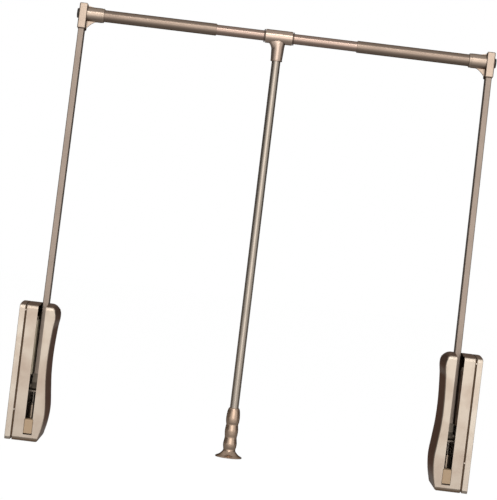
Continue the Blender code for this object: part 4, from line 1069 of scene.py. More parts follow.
def softened(mesh: Mesh, width: float, segments: int = 3, angle: float = 35.0) -> Mesh:
    """Round a mesh's sharp edges.

    Args:
        mesh: The mesh.
        width: The round's width.
        segments: Facets of the round.
        angle: The least angle in degrees of an edge that is rounded.

    Returns:
        The new mesh.
    """
    settings = {
        "width": width, "segments": segments, "limit_method": "ANGLE", "angle_limit": math.radians(angle),
        "use_clamp_overlap": True, "loop_slide": True,
    }
    return worked(mesh, ("BEVEL", settings))


class Shop:
    """What every sub-assembly needs: the frame, the finishes, the trees, and the way to add a piece to the
    scene.
    """

    def __init__(self, frame: dict) -> None:
        """Build the shared parts.

        Args:
            frame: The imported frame.
        """
        self.frame = frame
        parts = ShaderParts()
        self.finishes = {finish.name: finish.build(parts) for finish in FINISHES}
        self.slots = {finish.name: finish.slot or finish.name for finish in FINISHES}
        self.trees = ShapeTrees()

    def add(
        self, name: str, mesh: Mesh, finish: str, body: str, replaces: Iterable[str] = (),
        place: Matrix | None = None, crease: float = 40.0,
        recess: Callable[[Vector, Vector], float] | None = None,
    ) -> bpy.types.Object:
        """Add a finished mesh to the scene as a piece.

        Args:
            name: The piece's name.
            mesh: Its mesh.
            finish: The finish's name.
            body: The CAD body that it rides on.
            replaces: The CAD nodes that it stands for.
            place: Matrix that brings the mesh to the row's frame.
            crease: Angle in degrees past which an edge stays sharp.
            recess: Says from a face's middle and normal how much painted shade it gets, from 0 to 1, kept as
                the recess attribute.

        Returns:
            The piece's object.
        """
        # The recess attribute is a painted shade mask.
        if recess is not None:
            depths = mesh.attributes.new("recess", "FLOAT", "FACE")
            depths.data.foreach_set("value", [recess(face.center, face.normal) for face in mesh.polygons])
        if place is not None:
            mesh.transform(place)
            if place.determinant() < 0:
                mesh.flip_normals()
        mesh.materials.clear()
        mesh.materials.append(self.finishes[finish])
        mesh.polygons.foreach_set("use_smooth", [True] * len(mesh.polygons))
        mesh.set_sharp_from_angle(angle=math.radians(crease))
        mesh = worked(mesh, ("WEIGHTED_NORMAL", {"keep_sharp": True, "weight": 50}))
        mesh.name = name
        piece = linked(name, mesh)
        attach(piece, body)
        nodes = list(replaces)
        if nodes:
            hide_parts(*nodes)
        LOG.info("%s: %d faces on %s, for %s", name, len(mesh.polygons), body, nodes or "nothing")
        return piece

    def tube(
        self, name: str, sizes: dict[str, object], finish: str, body: str, node: str, place: Matrix,
    ) -> None:
        """Make a tube and add it to the scene as a piece.

        Args:
            name: The piece's name.
            sizes: The walled section's inputs.
            finish: The finish's name.
            body: The CAD body that it rides on.
            node: The CAD node that it stands for.
            place: Matrix from the tube's own frame to the row's frame.
        """
        mesh = run_tree(self.trees.walled_section, sizes, self.finishes[finish])
        self.add(name, mesh, finish, body, [node], place)

    def dress(self, finish: str, *nodes: str) -> None:
        """Give CAD nodes a finish.

        Args:
            finish: The finish's name.
            *nodes: The nodes' names.
        """
        for node in nodes:
            item = self.frame["nodes"][node]
            for slot in item.material_slots:
                slot.material = self.finishes[finish]
            LOG.info("%s: dressed in %s", node, finish)


@dataclass(frozen=True)
class Casing:
    """A side unit's casing: its wall half, its waved cover, and the buffer and strip at the arm's slot."""

    hand: Hand
    height: float = 270.5 * MM
    depth: float = 126.0 * MM
    below_pivot: float = 105.0 * MM
    before_pivot: float = 56.0 * MM
    wall: float = 2.4 * MM
    base_width: float = 11.7 * MM
    cover_start: float = 14.4 * MM
    cover_reach: float = 75.6 * MM
    corner: float = 6.0 * MM
    top_corner: float = 8.0 * MM
    corner_growth: float = 9.0 * MM
    crown: float = 5.5 * MM
    front_round: float = 4.5 * MM
    draft: float = math.radians(1.0)
    front_edge: tuple[Pair, ...] = (
        (0.0, 1.35), (0.02, 1.25), (0.45, 0.30), (0.58, 0.12), (0.75, 0.03), (1.0, 0.0),
    )
    foot_edge: tuple[Pair, ...] = (
        (0.0, 1.75), (0.03, 1.5), (0.2, 0.92), (0.45, 0.42), (0.7, 0.14), (1.0, 0.0),
    )
    side_round: float = 2.8 * MM
    seam_round: float = 1.0 * MM
    back_round: float = 2.0 * MM
    tongue_inset: float = 2.7 * MM
    tongue_wall: float = 1.4 * MM
    tongue_end: float = 18.0 * MM
    tab_shares: Pair = (0.035, 0.775)
    tab: float = 3.0 * MM
    boss_end: float = 19.2 * MM
    boss_radii: tuple[float, float, float] = (8.2 * MM, 7.0 * MM, 6.8 * MM)
    boss_bore: float = 2.5 * MM
    peg: Pair = (2.7 * MM, 3.5 * MM)
    peg_socket: Pair = (3.8 * MM, 5.4 * MM)
    peg_socket_length: float = 9.0 * MM
    slot_sides: Pair = (8.0 * MM, 7.5 * MM)
    slot_bottom: float = -60.6 * MM
    slot_back: float = 30.2 * MM
    cheek_wall: float = 1.8 * MM
    cheek_depth: float = 24.0 * MM
    cheek_span: Pair = (27.0 * MM, 137.0 * MM)
    bumper_width: float = 17.2 * MM
    bumper_low: float = -91.4 * MM
    bumper_proud: float = 1.2 * MM
    bumper_gap: float = 2.2 * MM
    bumper_backs: Pair = (-34.3 * MM, -29.1 * MM)
    bumper_tail: Pair = (-83.6 * MM, -69.6 * MM)
    bumper_head: float = 3.0 * MM
    liner_depth: float = 24.5 * MM
    liner_wall: float = 0.5 * MM
    liner_flange: float = 11.0 * MM
    liner_return: float = 28.0 * MM
    wave: tuple[Pair, ...] = (
        (0.0, 0.930), (0.07, 0.985), (0.16, 0.950), (0.35, 0.911), (0.51, 0.918),
        (0.64, 0.959), (0.77, 1.0), (0.88, 0.971), (0.97, 0.901), (1.0, 0.860),
    )
    pegs: tuple[Pair, ...] = (
        (56.0 * MM, 155.8 * MM), (56.0 * MM, -93.8 * MM), (-20.0 * MM, -93.8 * MM),
    )

    @property
    def front(self) -> float:
        """Where the casing's front face lies along Y."""
        return -self.before_pivot

    @property
    def back(self) -> float:
        """Where the casing's back face lies along Y."""
        return self.front + self.depth

    @property
    def bottom(self) -> float:
        """Where the casing ends below."""
        return -self.below_pivot

    @property
    def top(self) -> float:
        """Where the casing ends above."""
        return self.bottom + self.height

    @property
    def slot_span(self) -> Pair:
        """The two sides of the arm's slot."""
        return LAYOUT.arm_from_wall - self.slot_sides[0], LAYOUT.arm_from_wall + self.slot_sides[1]

    def rise(self, y: float) -> float:
        """Return how far the crowned top stands above its edges at a depth.

        Args:
            y: The depth.

        Returns:
            The rise.
        """
        share = clamped((y - self.front) / self.depth)
        return self.crown * (1.0 - (2.0 * share - 1.0) ** 2)

    def reach(self, z: float) -> float:
        """Return how far the cover's front reaches from the wall at a height.

        Args:
            z: The height.

        Returns:
            The reach.
        """
        share = clamped((self.top - z) / self.height)
        return smooth_curve(self.wave, share) * self.cover_reach

    def edge_steps(self, edge: Sequence[Pair]) -> list[Pair]:
        """Return the steps over a bevelled front edge, from the face inwards.

        Args:
            edge: The edge's knots, as shares of the front round.

        Returns:
            The depth and the fall of each step.
        """
        steps = []
        for angle in quarter(12):
            share = 1 - math.cos(angle)
            index = max(i for i, (place, _) in enumerate(edge[:-1]) if place <= share)
            (start, high), (end, low) = edge[index:index + 2]
            fall = high + (low - high) * (share - start) / (end - start)
            steps.append((self.front_round * share, self.front_round * fall))
        return steps

    def base_outline(self, inset: float) -> list[Pair]:
        """Return the wall half's side outline with its crowned top, drawn in by an inset.

        Args:
            inset: How far it is drawn in all round.

        Returns:
            The outline as (y, z) pairs.
        """
        corner = max(self.corner - inset, self.corner / 4)
        low = (self.front + inset, self.bottom + inset)
        high = (self.back - inset, self.top - inset)
        steps = 10
        rounded = rounded_rectangle(low, high, corner, steps)
        start, end = high[0] - corner, low[0] + self.front_round
        edge = self.edge_steps(self.front_edge)
        points = [(low[0] + depth, low[1] + fall) for depth, fall in edge]
        points += rounded[steps + 1:3 * (steps + 1)]
        points += [(y, high[1]) for y in between(start, end, 14)]
        points += [(low[0] + depth, high[1] - fall) for depth, fall in reversed(edge)]
        share = 1.0 / (high[1] - low[1])
        return [(y, z + self.rise(y) * ((z - low[1]) * share) ** 8) for y, z in points]

    def base_mesh(self) -> Mesh:
        """Build the wall half: a rounded tray with a lap tongue, bosses, peg sockets and two seam tabs.

        Returns:
            The mesh.
        """
        tongue = self.tongue_inset + self.tongue_wall
        first = round_steps(self.seam_round, 5)
        last = [(self.base_width - x, inset) for x, inset in reversed(first)]
        lap = eased(
            [
                (self.base_width, self.seam_round + GAP), (self.base_width, self.tongue_inset),
                (self.tongue_end, self.tongue_inset), (self.tongue_end, tongue), (self.wall, tongue),
            ],
            0.4 * MM, 2,
        )
        rings = []
        for station, inset in [*first, *last, *lap]:
            rings.append([Axis.X.point(station, a, b) for a, b in self.base_outline(inset)])
        shell = close_rings(rings)
        rooted = self.wall * 0.8
        boss = list(zip((rooted, self.wall + 1.2 * MM, self.boss_end), self.boss_radii))
        extras = [turned(Axis.X, boss, 40, place) for place in LAYOUT.wall_screws]
        for share in self.tab_shares:
            middle = self.top - share * self.height
            tab = block(
                (self.base_width - 1.5 * MM, self.cover_start - GAP),
                (self.front + self.seam_round, self.front + self.tab),
                (middle - self.tab / 2, middle + self.tab / 2),
            )
            extras.append(softened(tab, 0.3 * MM, 2))
        (inner, outer), end = self.peg_socket, self.wall + self.peg_socket_length
        corners = [(rooted, inner), (rooted, outer), (end, outer), (end, inner)]
        for place in self.pegs:
            extras.append(turned(Axis.X, eased(corners, 0.3 * MM, 2, closed=True), 32, place, bored=True))
        shell = combine(shell, Cut.ONTO, *extras)
        holes = [
            rod(Axis.X, -OVER, self.boss_end + OVER, self.boss_bore, 24, place)
            for place in LAYOUT.wall_screws
        ]
        return combine(shell, Cut.AWAY, *holes)

    def cover_outline(
        self, foot_inset: float, inset: float, side_inset: float, seam_inset: float, rise: float,
        start: float | None, growth: float,
    ) -> list[Pair]:
        """Return the cover's front outline, drawn in by its insets.

        Args:
            foot_inset: How far it is drawn in below.
            inset: How far it is drawn in above.
            side_inset: How far its waved side is drawn in.
            seam_inset: How far it is drawn in at the seam.
            rise: How far the crowned top stands above its edges.
            start: Where the seam side lies, where that isn't the cover's own edge.
            growth: How much wider the top corner's round is than at the front.

        Returns:
            The outline as (z, x) pairs.
        """
        low, high = self.bottom + foot_inset, self.top - inset + rise
        foot_round = max(self.corner - foot_inset, self.corner / 4)
        head_round = max(self.top_corner - inset, self.top_corner / 4) + growth
        seam = self.cover_start + seam_inset if start is None else start
        side_low, side_high = low + foot_round, high - head_round
        foot, head = self.reach(side_low) - side_inset, self.reach(side_high) - side_inset
        points = [(low, seam)]
        for angle in quarter(9)[:-1]:
            points.append((
                side_low - foot_round * math.cos(angle), foot - foot_round + foot_round * math.sin(angle),
            ))
        count = 60
        for i in range(count + 1):
            z = side_low + (side_high - side_low) * i / count
            points.append((z, self.reach(z) - side_inset))
        for angle in quarter(9)[1:]:
            points.append((
                side_high + head_round * math.sin(angle), head - head_round + head_round * math.cos(angle),
            ))
        points.append((high, seam))
        return points

    def cover_ring(
        self, depth: float, inset: float, side_inset: float,
        start: float | None = None, foot: float | None = None,
    ) -> Ring:
        """Return one ring of the cover, which leans inwards and rounds off more towards the back.

        Args:
            depth: The ring's place along Y.
            inset: How far it is drawn in above, and below where no foot is given.
            side_inset: How far its waved side is drawn in.
            start: Where the seam side lies, where that isn't the cover's own edge.
            foot: How far it is drawn in below.

        Returns:
            The ring.
        """
        seam_inset = min(side_inset, self.seam_round)
        side_inset += (depth - self.front) * math.tan(self.draft)
        below, rise = inset if foot is None else foot, self.rise(depth)
        growth = (depth - self.front) / self.depth * self.corner_growth
        outline = self.cover_outline(below, inset, side_inset, seam_inset, rise, start, growth)
        return [Axis.Y.point(depth, z, x) for z, x in outline]

    def cover_mesh(self) -> Mesh:
        """Build the cover: rounded, waved, hollow, with the arm's slot, its cheek and the buffer's window.

        Returns:
            The mesh.
        """
        rings = []
        edges = zip(quarter(12), self.edge_steps(self.front_edge), self.edge_steps(self.foot_edge))
        for angle, (depth, fall), (_, foot) in edges:
            side = self.side_round * (1 - math.sin(angle))
            rings.append(self.cover_ring(self.front + depth, fall, side, foot=foot))
        rounded = self.back_round
        flat = between(self.front + self.front_round, self.back - rounded, 14)
        rings += [self.cover_ring(depth, 0.0, 0.0) for depth in flat]
        last = reversed(round_steps(rounded, 6))
        rings += [self.cover_ring(self.back - depth, inset, inset) for depth, inset in last]
        shell = close_rings(rings)

        inside = self.cover_start - OVER
        inner = self.front_round - self.wall
        floor, end = self.front + self.wall, self.back - self.wall
        steps = [(floor + depth, self.wall + inset) for depth, inset in round_steps(inner, 4)]
        steps += [(depth, self.wall) for depth in (*between(floor + inner, end, 10), end)]
        hollow = [self.cover_ring(depth, inset, inset, inside) for depth, inset in steps]
        shell = combine(shell, Cut.AWAY, close_rings(hollow))

        extras = []
        for y, z in self.pegs:
            reach = self.reach(z) - self.wall + 0.5 * MM
            tip, thick = self.peg
            profile = [(self.wall + GAP, tip), (self.wall + 1.4 * MM, thick), (reach, thick)]
            extras.append(turned(Axis.X, profile, 32, (y, z)))
        low, high = self.slot_span
        cheek = block(
            (high, high + self.cheek_wall),
            (self.front + self.wall - 0.5 * MM, self.front + self.cheek_depth), self.cheek_span,
        )
        extras.append(softened(cheek, 0.5 * MM, 2))
        shell = combine(shell, Cut.ONTO, *extras)

        half = self.bumper_width / 2 + GAP
        middle = LAYOUT.arm_from_wall
        front_cut = (self.front - OVER, self.front + self.front_round + OVER)
        above = self.top + self.crown + OVER
        return combine(
            shell, Cut.AWAY,
            block((low, high), front_cut, (self.slot_bottom, above)),
            block((low, high), (self.front - OVER, self.slot_back), (self.top - self.wall - OVER, above)),
            block((middle - half, middle + half), front_cut,
                  (self.bumper_low - GAP, self.slot_bottom + GAP)),
        )

    def bumper_mesh(self) -> Mesh:
        """Build the buffer block, with a rounded head and a tail on the bracket's floor.

        Returns:
            The mesh.
        """
        front, foot = self.front - self.bumper_proud, self.bumper_low + self.bumper_gap
        (back, tail), (low, high) = self.bumper_backs, self.bumper_tail
        corners = [
            (front, foot), (back, foot), (back, low), (tail, low), (tail, high), (back, high),
            (back, self.slot_bottom),
        ]
        head = self.bumper_head
        for angle in quarter(8):
            corners.append((
                front + head * (1 - math.sin(angle)), self.slot_bottom - head * (1 - math.cos(angle)),
            ))
        half = self.bumper_width / 2 - GAP
        middle = LAYOUT.arm_from_wall
        return softened(prism(Axis.X, corners, middle - half, middle + half), 1.3 * MM, 4)

    def liner_mesh(self) -> Mesh:
        """Build the folded strip that lines the slot's wall side, beside the arm.

        Returns:
            The mesh.
        """
        wall = self.liner_wall
        edge = LAYOUT.arm_from_wall - self.slot_sides[0] + 0.5 * MM
        foot = edge - self.liner_flange
        front, back = self.front + self.wall - 0.2 * MM, self.front + self.liner_depth
        end = back + self.liner_return
        section = [
            (foot, front), (foot + wall, front), (foot + wall, back), (edge, back), (edge, end),
            (edge - wall, end), (edge - wall, back + wall), (foot, back + wall),
        ]
        return softened(prism(Axis.Z, section, *self.cheek_span), 0.15 * MM, 2)

    def painted_shade_depth(self, centre: Vector, normal: Vector) -> float:
        """Say how much painted shade a face of the casing gets: the seam's lap, the underside, the inside,
        and a little on the top.

        Args:
            centre: The face's middle.
            normal: Which way it faces.

        Returns:
            The painted shade's strength, from 0 to 1.
        """
        edge = self.seam_round * 0.5
        # Painted shade in the seam's lap, except on the tabs' fronts.
        if self.base_width - edge < centre.x < self.cover_start + edge:
            tabs = (self.top - share * self.height for share in self.tab_shares)
            shown = centre.y < self.front + 2.0 * MM and any(abs(centre.z - z) < self.tab * 0.6 for z in tabs)
            return 0.0 if shown else 1.0
        skin = self.wall * 0.6
        middle = Vector((self.cover_reach / 2, (self.front + self.back) / 2, (self.bottom + self.top) / 2))
        # Painted shade on the inside faces.
        if (
            normal.dot(middle - centre) > 0.0
            and skin < centre.x < self.reach(centre.z) - skin
            and self.front + skin < centre.y < self.back - skin
            and self.bottom + skin < centre.z < self.top + self.rise(centre.y) - skin
        ):
            return 1.0
        # Painted shade on the underside, darker as a face turns down.
        if normal.z < 0.0:
            begin = 0.5 if centre.x < self.base_width else 0.08
            return clamped((-normal.z - begin) / 0.3)
        # A little painted shade on faces that look up.
        return 0.1 * max((normal.z - 0.8) / 0.2, 0.0)

    def dress(self, shop: Shop) -> None:
        """Make the casing's pieces.

        Args:
            shop: The shop.
        """
        body = self.hand.node("unit")
        place = LAYOUT.unit(self.hand)
        for name, mesh, finish in (
            ("base_shell", self.base_mesh(), "base_plastic"),
            ("cover_shell", self.cover_mesh(), "cover_plastic"),
            ("slot_bumper", self.bumper_mesh(), "buffer"),
        ):
            node = self.hand.node(name)
            # The recess attribute carries the casing's painted shade.
            shop.add(f"{node}_skin", mesh, finish, body, [node], place, recess=self.painted_shade_depth)
        # The right-hand liner gets a dark finish, which is painted shade; the left one is pale.
        lining = "liner" if self.hand is Hand.LEFT else "painted_shade_liner"
        shop.add(self.hand.node("slot_liner"), self.liner_mesh(), lining, body, (), place)


def tube_sizes(
    width: float, wall: float, start: float, end: float, lip: float = TUBE_LIP,
) -> dict[str, object]:
    """Return the walled section's inputs for a round tube.

    Args:
        width: Outer diameter.
        wall: Wall thickness.
        start: Where it begins on its axis.
        end: Where it ends.
        lip: Radius of its rounded rims.

    Returns:
        The inputs.
    """
    return {"Width": width, "Depth": width, "Wall": wall, "Start": start, "Length": end - start, "Lip": lip}


def screw_mesh(shank: float, head: float, shank_length: float, head_height: float) -> Mesh:
    """Build a domed screw along Z with a cross recess, its head's seat at the origin.

    Args:
        shank: The shank's diameter.
        head: The head's diameter.
        shank_length: How far the shank runs below the seat.
        head_height: How high the head stands.

    Returns:
        The mesh.
    """
    rim = head_height * 0.3
    profile = [(-shank_length, shank * 0.36), (-shank_length + shank * 0.2, shank / 2), (0.0, shank / 2)]
    profile += [(0.0, head / 2), (rim, head / 2)]
    for angle in quarter(7)[1:]:
        profile.append((rim + (head_height - rim) * math.sin(angle), head / 2 * max(math.cos(angle), 0.02)))
    screw = turned(Axis.Z, profile, 36)
    arm, thick = head * 0.27, head * 0.075
    floor = head_height * 0.35
    slots = [
        block((-arm, arm), (-thick, thick), (floor, head_height * 1.2)),
        block((-thick, thick), (-arm, arm), (floor, head_height * 1.2)),
    ]
    return combine(screw, Cut.AWAY, *slots)


def screw_piece(
    shop: Shop, name: str, screw: Mesh, points: Sequence[Vector], body: str, nodes: Sequence[str],
    place: Matrix,
) -> None:
    """Set steel screws on points and add them to the scene as one piece.

    Args:
        shop: The shop.
        name: The piece's name.
        screw: The screw's mesh, which is used up.
        points: Where the screws' seats lie, in the screws' own frame.
        body: The CAD body that they ride on.
        nodes: The CAD nodes that they stand for.
        place: Matrix from the screws' own frame to the row's frame.
    """
    pattern = bpy.data.objects.new("screw", screw)
    mesh = run_tree(shop.trees.screw_set, {"Screw": pattern}, shop.finishes["steel"], points)
    discard(pattern)
    shop.add(name, mesh, "steel", body, nodes, place, 30.0)


KEPT_PARTS = {
    "steel": ("bracket", "pivot_pin", "drive_gear", "rack", "damper_rod"),
    "nylon": ("outer_bush", "inner_bush", "rack_guide", "damper_clamp"),
    "rubber": ("rest_pad",),
    "damper_skin": ("damper_body",),
    "spring_steel": ("spring_guide",),
    # The arm's root wears a darker copy of the bronze tube finish: painted shade.
    "painted_shade_bronze": ("arm_root",),
}


@dataclass(frozen=True)
class Mechanism:
    """What stands inside a casing: the lift spring in its cup, and the wall screws.

    The CAD's own shapes of the other parts stay, each in the finish that KEPT_PARTS gives it.
    """

    hand: Hand
    spring_y: float = -21.0 * MM
    spring_radius: float = 4.9 * MM
    wire: float = 1.8 * MM
    spring_span: Pair = (-80.3 * MM, -8.3 * MM)
    curls: float = 9.0
    cup_outer: float = 15.0 * MM
    cup_inner: float = 12.6 * MM
    cup_span: Pair = (-83.6 * MM, -33.7 * MM)
    cup_floor: float = 3.0 * MM
    screw_seat: float = 22.3 * MM

    def spring(self, shop: Shop) -> None:
        """Make the lift spring at its rest length; on the real unit it shortens as the rack comes down.

        Args:
            shop: The shop.
        """
        low, high = self.spring_span
        sizes = {
            "Radius": self.spring_radius, "Wire": self.wire, "Start": low, "Length": high - low,
            "Curls": self.curls, "Points": 220,
        }
        mesh = run_tree(shop.trees.coil, sizes, shop.finishes["spring_steel"])
        place = LAYOUT.unit(self.hand) @ Matrix.Translation((LAYOUT.arm_from_wall, self.spring_y, 0.0))
        node = self.hand.node("lift_spring")
        piece = shop.add(f"{node}_coil", mesh, "spring_steel", self.hand.node("unit"), [node], place, 60.0)
        self.hand.node("rack_slide")
        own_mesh(piece)

    def cup(self, shop: Shop) -> None:
        """Make the cup that the spring stands in.

        Args:
            shop: The shop.
        """
        low, high = self.cup_span
        profile = eased([
            (low, 0.5 * MM), (low, self.cup_outer / 2), (high, self.cup_outer / 2),
            (high, self.cup_inner / 2), (low + self.cup_floor, self.cup_inner / 2),
            (low + self.cup_floor, 0.5 * MM),
        ], 0.5 * MM, 3)
        node = self.hand.node("spring_cup")
        mesh = turned(Axis.Z, profile, 48, (LAYOUT.arm_from_wall, self.spring_y))
        shop.add(f"{node}_turned", mesh, "cup_metal", self.hand.node("unit"), [node], LAYOUT.unit(self.hand))

    def dress(self, shop: Shop) -> None:
        """Make the mechanism's pieces and dress the CAD nodes that stay.

        Args:
            shop: The shop.
        """
        self.spring(shop)
        self.cup(shop)
        hand = self.hand
        turn = LAYOUT.unit(hand) @ TURNED_TO_X
        points = [Vector((-z, y, self.screw_seat)) for y, z in LAYOUT.wall_screws]
        screw = screw_mesh(4.4 * MM, 8.4 * MM, 21.7 * MM, 2.8 * MM)
        nodes = [hand.node("upper_wall_screw"), hand.node("lower_wall_screw")]
        screw_piece(shop, hand.node("wall_screws"), screw, points, hand.node("unit"), nodes, turn)
        for finish, names in KEPT_PARTS.items():
            shop.dress(finish, *(hand.node(name) for name in names))


@dataclass(frozen=True)
class SwingArm:
    """An arm with its corner connector, and the outer tube that the connector holds."""

    hand: Hand
    width: float = 12.6 * MM
    depth: float = 26.0 * MM
    wall: float = 1.5 * MM
    edge_round: float = 1.9 * MM
    start: float = 26.3 * MM
    end: float = 755.0 * MM
    block_size: Pair = (17.0 * MM, 34.0 * MM)
    block_span: Pair = (-33.0 * MM, 20.0 * MM)
    block_round: float = 2.6 * MM
    socket_depth: float = 17.3 * MM
    sleeve: float = 30.0 * MM
    sleeve_length: float = 35.0 * MM
    mouth_steps: tuple[Pair, ...] = (
        (5.0 * MM, 0.0), (4.6 * MM, 0.35 * MM), (1.2 * MM, 0.35 * MM), (0.4 * MM, 0.75 * MM), (0.0, 1.3 * MM),
    )
    web: float = 4.0 * MM
    web_run: float = 0.86
    web_dip: float = 0.35
    cap: float = 20.0 * MM
    cap_height: float = 4.0 * MM
    cap_stem: Pair = (4.0 * MM, 5.0 * MM)
    cap_ring: Pair = (3.0 * MM, 3.6 * MM)
    tube: float = 24.7 * MM
    tube_wall: float = 1.4 * MM
    tube_span: Pair = (9.1 * MM, 275.5 * MM)
    lock_inset: float = 14.0 * MM

    def web_mesh(self, way: int) -> Mesh:
        """Build the hollowed web above or below the sleeve.

        Args:
            way: 1 for the upper web and -1 for the lower.

        Returns:
            The mesh, with the sleeve's axis at the origin.
        """
        far = (self.block_span[1] if way > 0 else -self.block_span[0]) - self.block_round
        near = self.sleeve / 2 - 1.0 * MM
        start = self.block_size[0] / 2
        run = self.sleeve_length * self.web_run
        points = [(0.0, start - 1.0 * MM), (0.0, start + run), (way * near, start + run)]
        steps = 14
        for i in range(1, steps):
            share = i / steps
            dip = self.web_dip * (far - near) * math.sin(math.pi * share)
            points.append((way * (near + (far - near) * share - dip), start + run * (1 - share)))
        points += [(way * far, start), (way * far, start - 1.0 * MM)]
        return prism(Axis.Y, points, -self.web / 2, self.web / 2)

    def connector_mesh(self) -> Mesh:
        """Build the corner connector: a rounded block, a sleeve with a stepped mouth, and two webs.

        Returns:
            The mesh, with the bar's axis at the origin.
        """
        half, deep = self.block_size[0] / 2, self.block_size[1] / 2
        body = softened(block((-half, half), (-deep, deep), self.block_span), self.block_round, 6)
        end = half + self.sleeve_length
        radius = self.sleeve / 2
        profile = [(0.0, radius), (half + 1.5 * MM, radius)]
        profile += [(end - back, radius - fall) for back, fall in self.mouth_steps]
        fitting = combine(body, Cut.ONTO, turned(Axis.X, profile, 64), self.web_mesh(1), self.web_mesh(-1))
        fitting = softened(fitting, 0.45 * MM, 2, 40.0)
        clear = self.tube / 2 + GAP
        bored = [(half + GAP, clear), (end - 0.8 * MM, clear), (end + 1.0 * MM, clear + 0.9 * MM)]
        bore = turned(Axis.X, bored, 64)
        low = self.block_span[0]
        wide, long = self.width / 2 + GAP, self.depth / 2 + GAP
        oval = rounded_rectangle((-wide, -long), (wide, long), self.edge_round + GAP, 12)
        socket = prism(Axis.Z, oval, low - OVER, low + self.socket_depth)
        reach = self.cap_stem[1] + GAP
        cap_hole = rod(Axis.X, -half - OVER, -half + reach, self.cap_stem[0] + GAP, 32)
        seat = (0.0, half + self.sleeve_length / 2)
        screw_hole = rod(Axis.Y, self.tube / 2, radius + OVER, SCREW_BORE, 24, seat)
        return combine(fitting, Cut.AWAY, bore, socket, cap_hole, screw_hole)

    def cap_mesh(self) -> Mesh:
        """Build the round cap on the connector's outer face.

        Returns:
            The mesh, with the bar's axis at the origin.
        """
        face, rim = -self.block_size[0] / 2 - GAP, self.cap / 2
        outer = face - self.cap_height
        sunk = outer + 0.5 * MM
        stem, inner = self.cap_stem[0], face + self.cap_stem[1]
        corners = [
            (inner, 0.4 * MM), (inner, stem), (face, stem), (face, rim), (outer, rim),
            (outer, rim - self.cap_ring[0]), (sunk, rim - self.cap_ring[1]), (sunk, 0.4 * MM),
        ]
        return turned(Axis.X, eased(corners, 1.4 * MM, 4), 64)

    def painted_shade_depth(self, centre: Vector, normal: Vector) -> float:
        """Say how much painted shade a face of the connector gets: its top and its bores.

        Args:
            centre: The face's middle.
            normal: Which way it faces.

        Returns:
            The painted shade's strength, from 0 to 1.
        """
        half = self.block_size[0] / 2
        # Painted shade on the block's top, darker as it faces up, and in the bores.
        if abs(centre.x) <= half and centre.z > self.block_span[1] - self.block_round:
            return clamped((normal.z - 0.25) / 0.3, 0.9)
        reach = math.hypot(centre.y, centre.z)
        return 1.0 if centre.x > half and reach < self.tube / 2 + 2 * GAP else 0.0

    def dress(self, shop: Shop) -> None:
        """Make the arm's pieces.

        Args:
            shop: The shop.
        """
        hand = self.hand
        body = hand.node("arm_frame")
        pivot = LAYOUT.arm(hand)
        corner = pivot @ Matrix.Translation((0.0, 0.0, LAYOUT.arm_length))
        along = corner @ TURNED_TO_X

        node = hand.node("arm")
        sizes = {
            "Width": self.width, "Depth": self.depth, "Wall": self.wall, "Start": self.start,
            "Length": self.end - self.start, "Corner": self.edge_round, "Round": False, "Sides": 64,
            "Lip": 0.4 * MM,
        }
        shop.tube(f"{node}_oval", sizes, "bronze_tube", body, node, pivot)

        node = hand.node("outer_tube")
        sizes = tube_sizes(self.tube, self.tube_wall, *self.tube_span)
        shop.tube(f"{node}_drawn", sizes, "bronze_bar", body, node, along)

        node = hand.node("corner_connector")
        mesh = self.connector_mesh()
        # The recess attribute carries the connector's painted shade.
        shop.add(f"{node}_cast", mesh, "cast_fitting", body, [node], corner, recess=self.painted_shade_depth)
        node = hand.node("connector_cap")
        shop.add(f"{node}_round", self.cap_mesh(), "dark_plastic", body, [node], corner)

        back = corner @ TURNED_TO_BACK
        sleeve_screw = Vector((self.block_size[0] / 2 + self.sleeve_length / 2, 0.0, self.sleeve / 2 + GAP))
        mouth_screw = Vector((self.tube_span[1] - self.lock_inset, 0.0, self.tube / 2 + GAP))
        screw = screw_mesh(4.0 * MM, 7.0 * MM, 1.7 * MM, 2.2 * MM)
        nodes = [hand.node("connector_screw"), hand.node("tube_lock_screw")]
        screw_piece(shop, hand.node("bar_screws"), screw, [sleeve_screw, mouth_screw], body, nodes, back)


@dataclass(frozen=True)
class TelescopicBar:
    """The centre tube and the two rings that keep the tee in its place."""

    body: str = "centre_bar"
    tube: float = 21.2 * MM
    wall: float = 1.4 * MM
    half: float = 305.5 * MM
    ring: float = 26.8 * MM
    ring_width: float = 2.6 * MM
    ring_lip: float = 0.6 * MM
    tee_half: float = 28.6 * MM

    def dress(self, shop: Shop) -> None:
        """Make the bar's pieces.

        Args:
            shop: The shop.
        """
        along = LAYOUT.bar() @ TURNED_TO_X
        sizes = tube_sizes(self.tube, self.wall, -self.half, self.half)
        shop.tube("centre_tube_drawn", sizes, "bright_tube", self.body, "centre_tube", along)
        offset = LAYOUT.tee_x - LAYOUT.opening / 2
        for hand in Hand:
            near = offset - hand.inward * self.tee_half
            far = near - hand.inward * self.ring_width
            bore = self.tube / 2 + GAP
            sizes = tube_sizes(self.ring, self.ring / 2 - bore, min(near, far), max(near, far), self.ring_lip)
            node = hand.node("tee_collar")
            shop.tube(f"{node}_ring", sizes, "dark_ring", self.body, node, along)


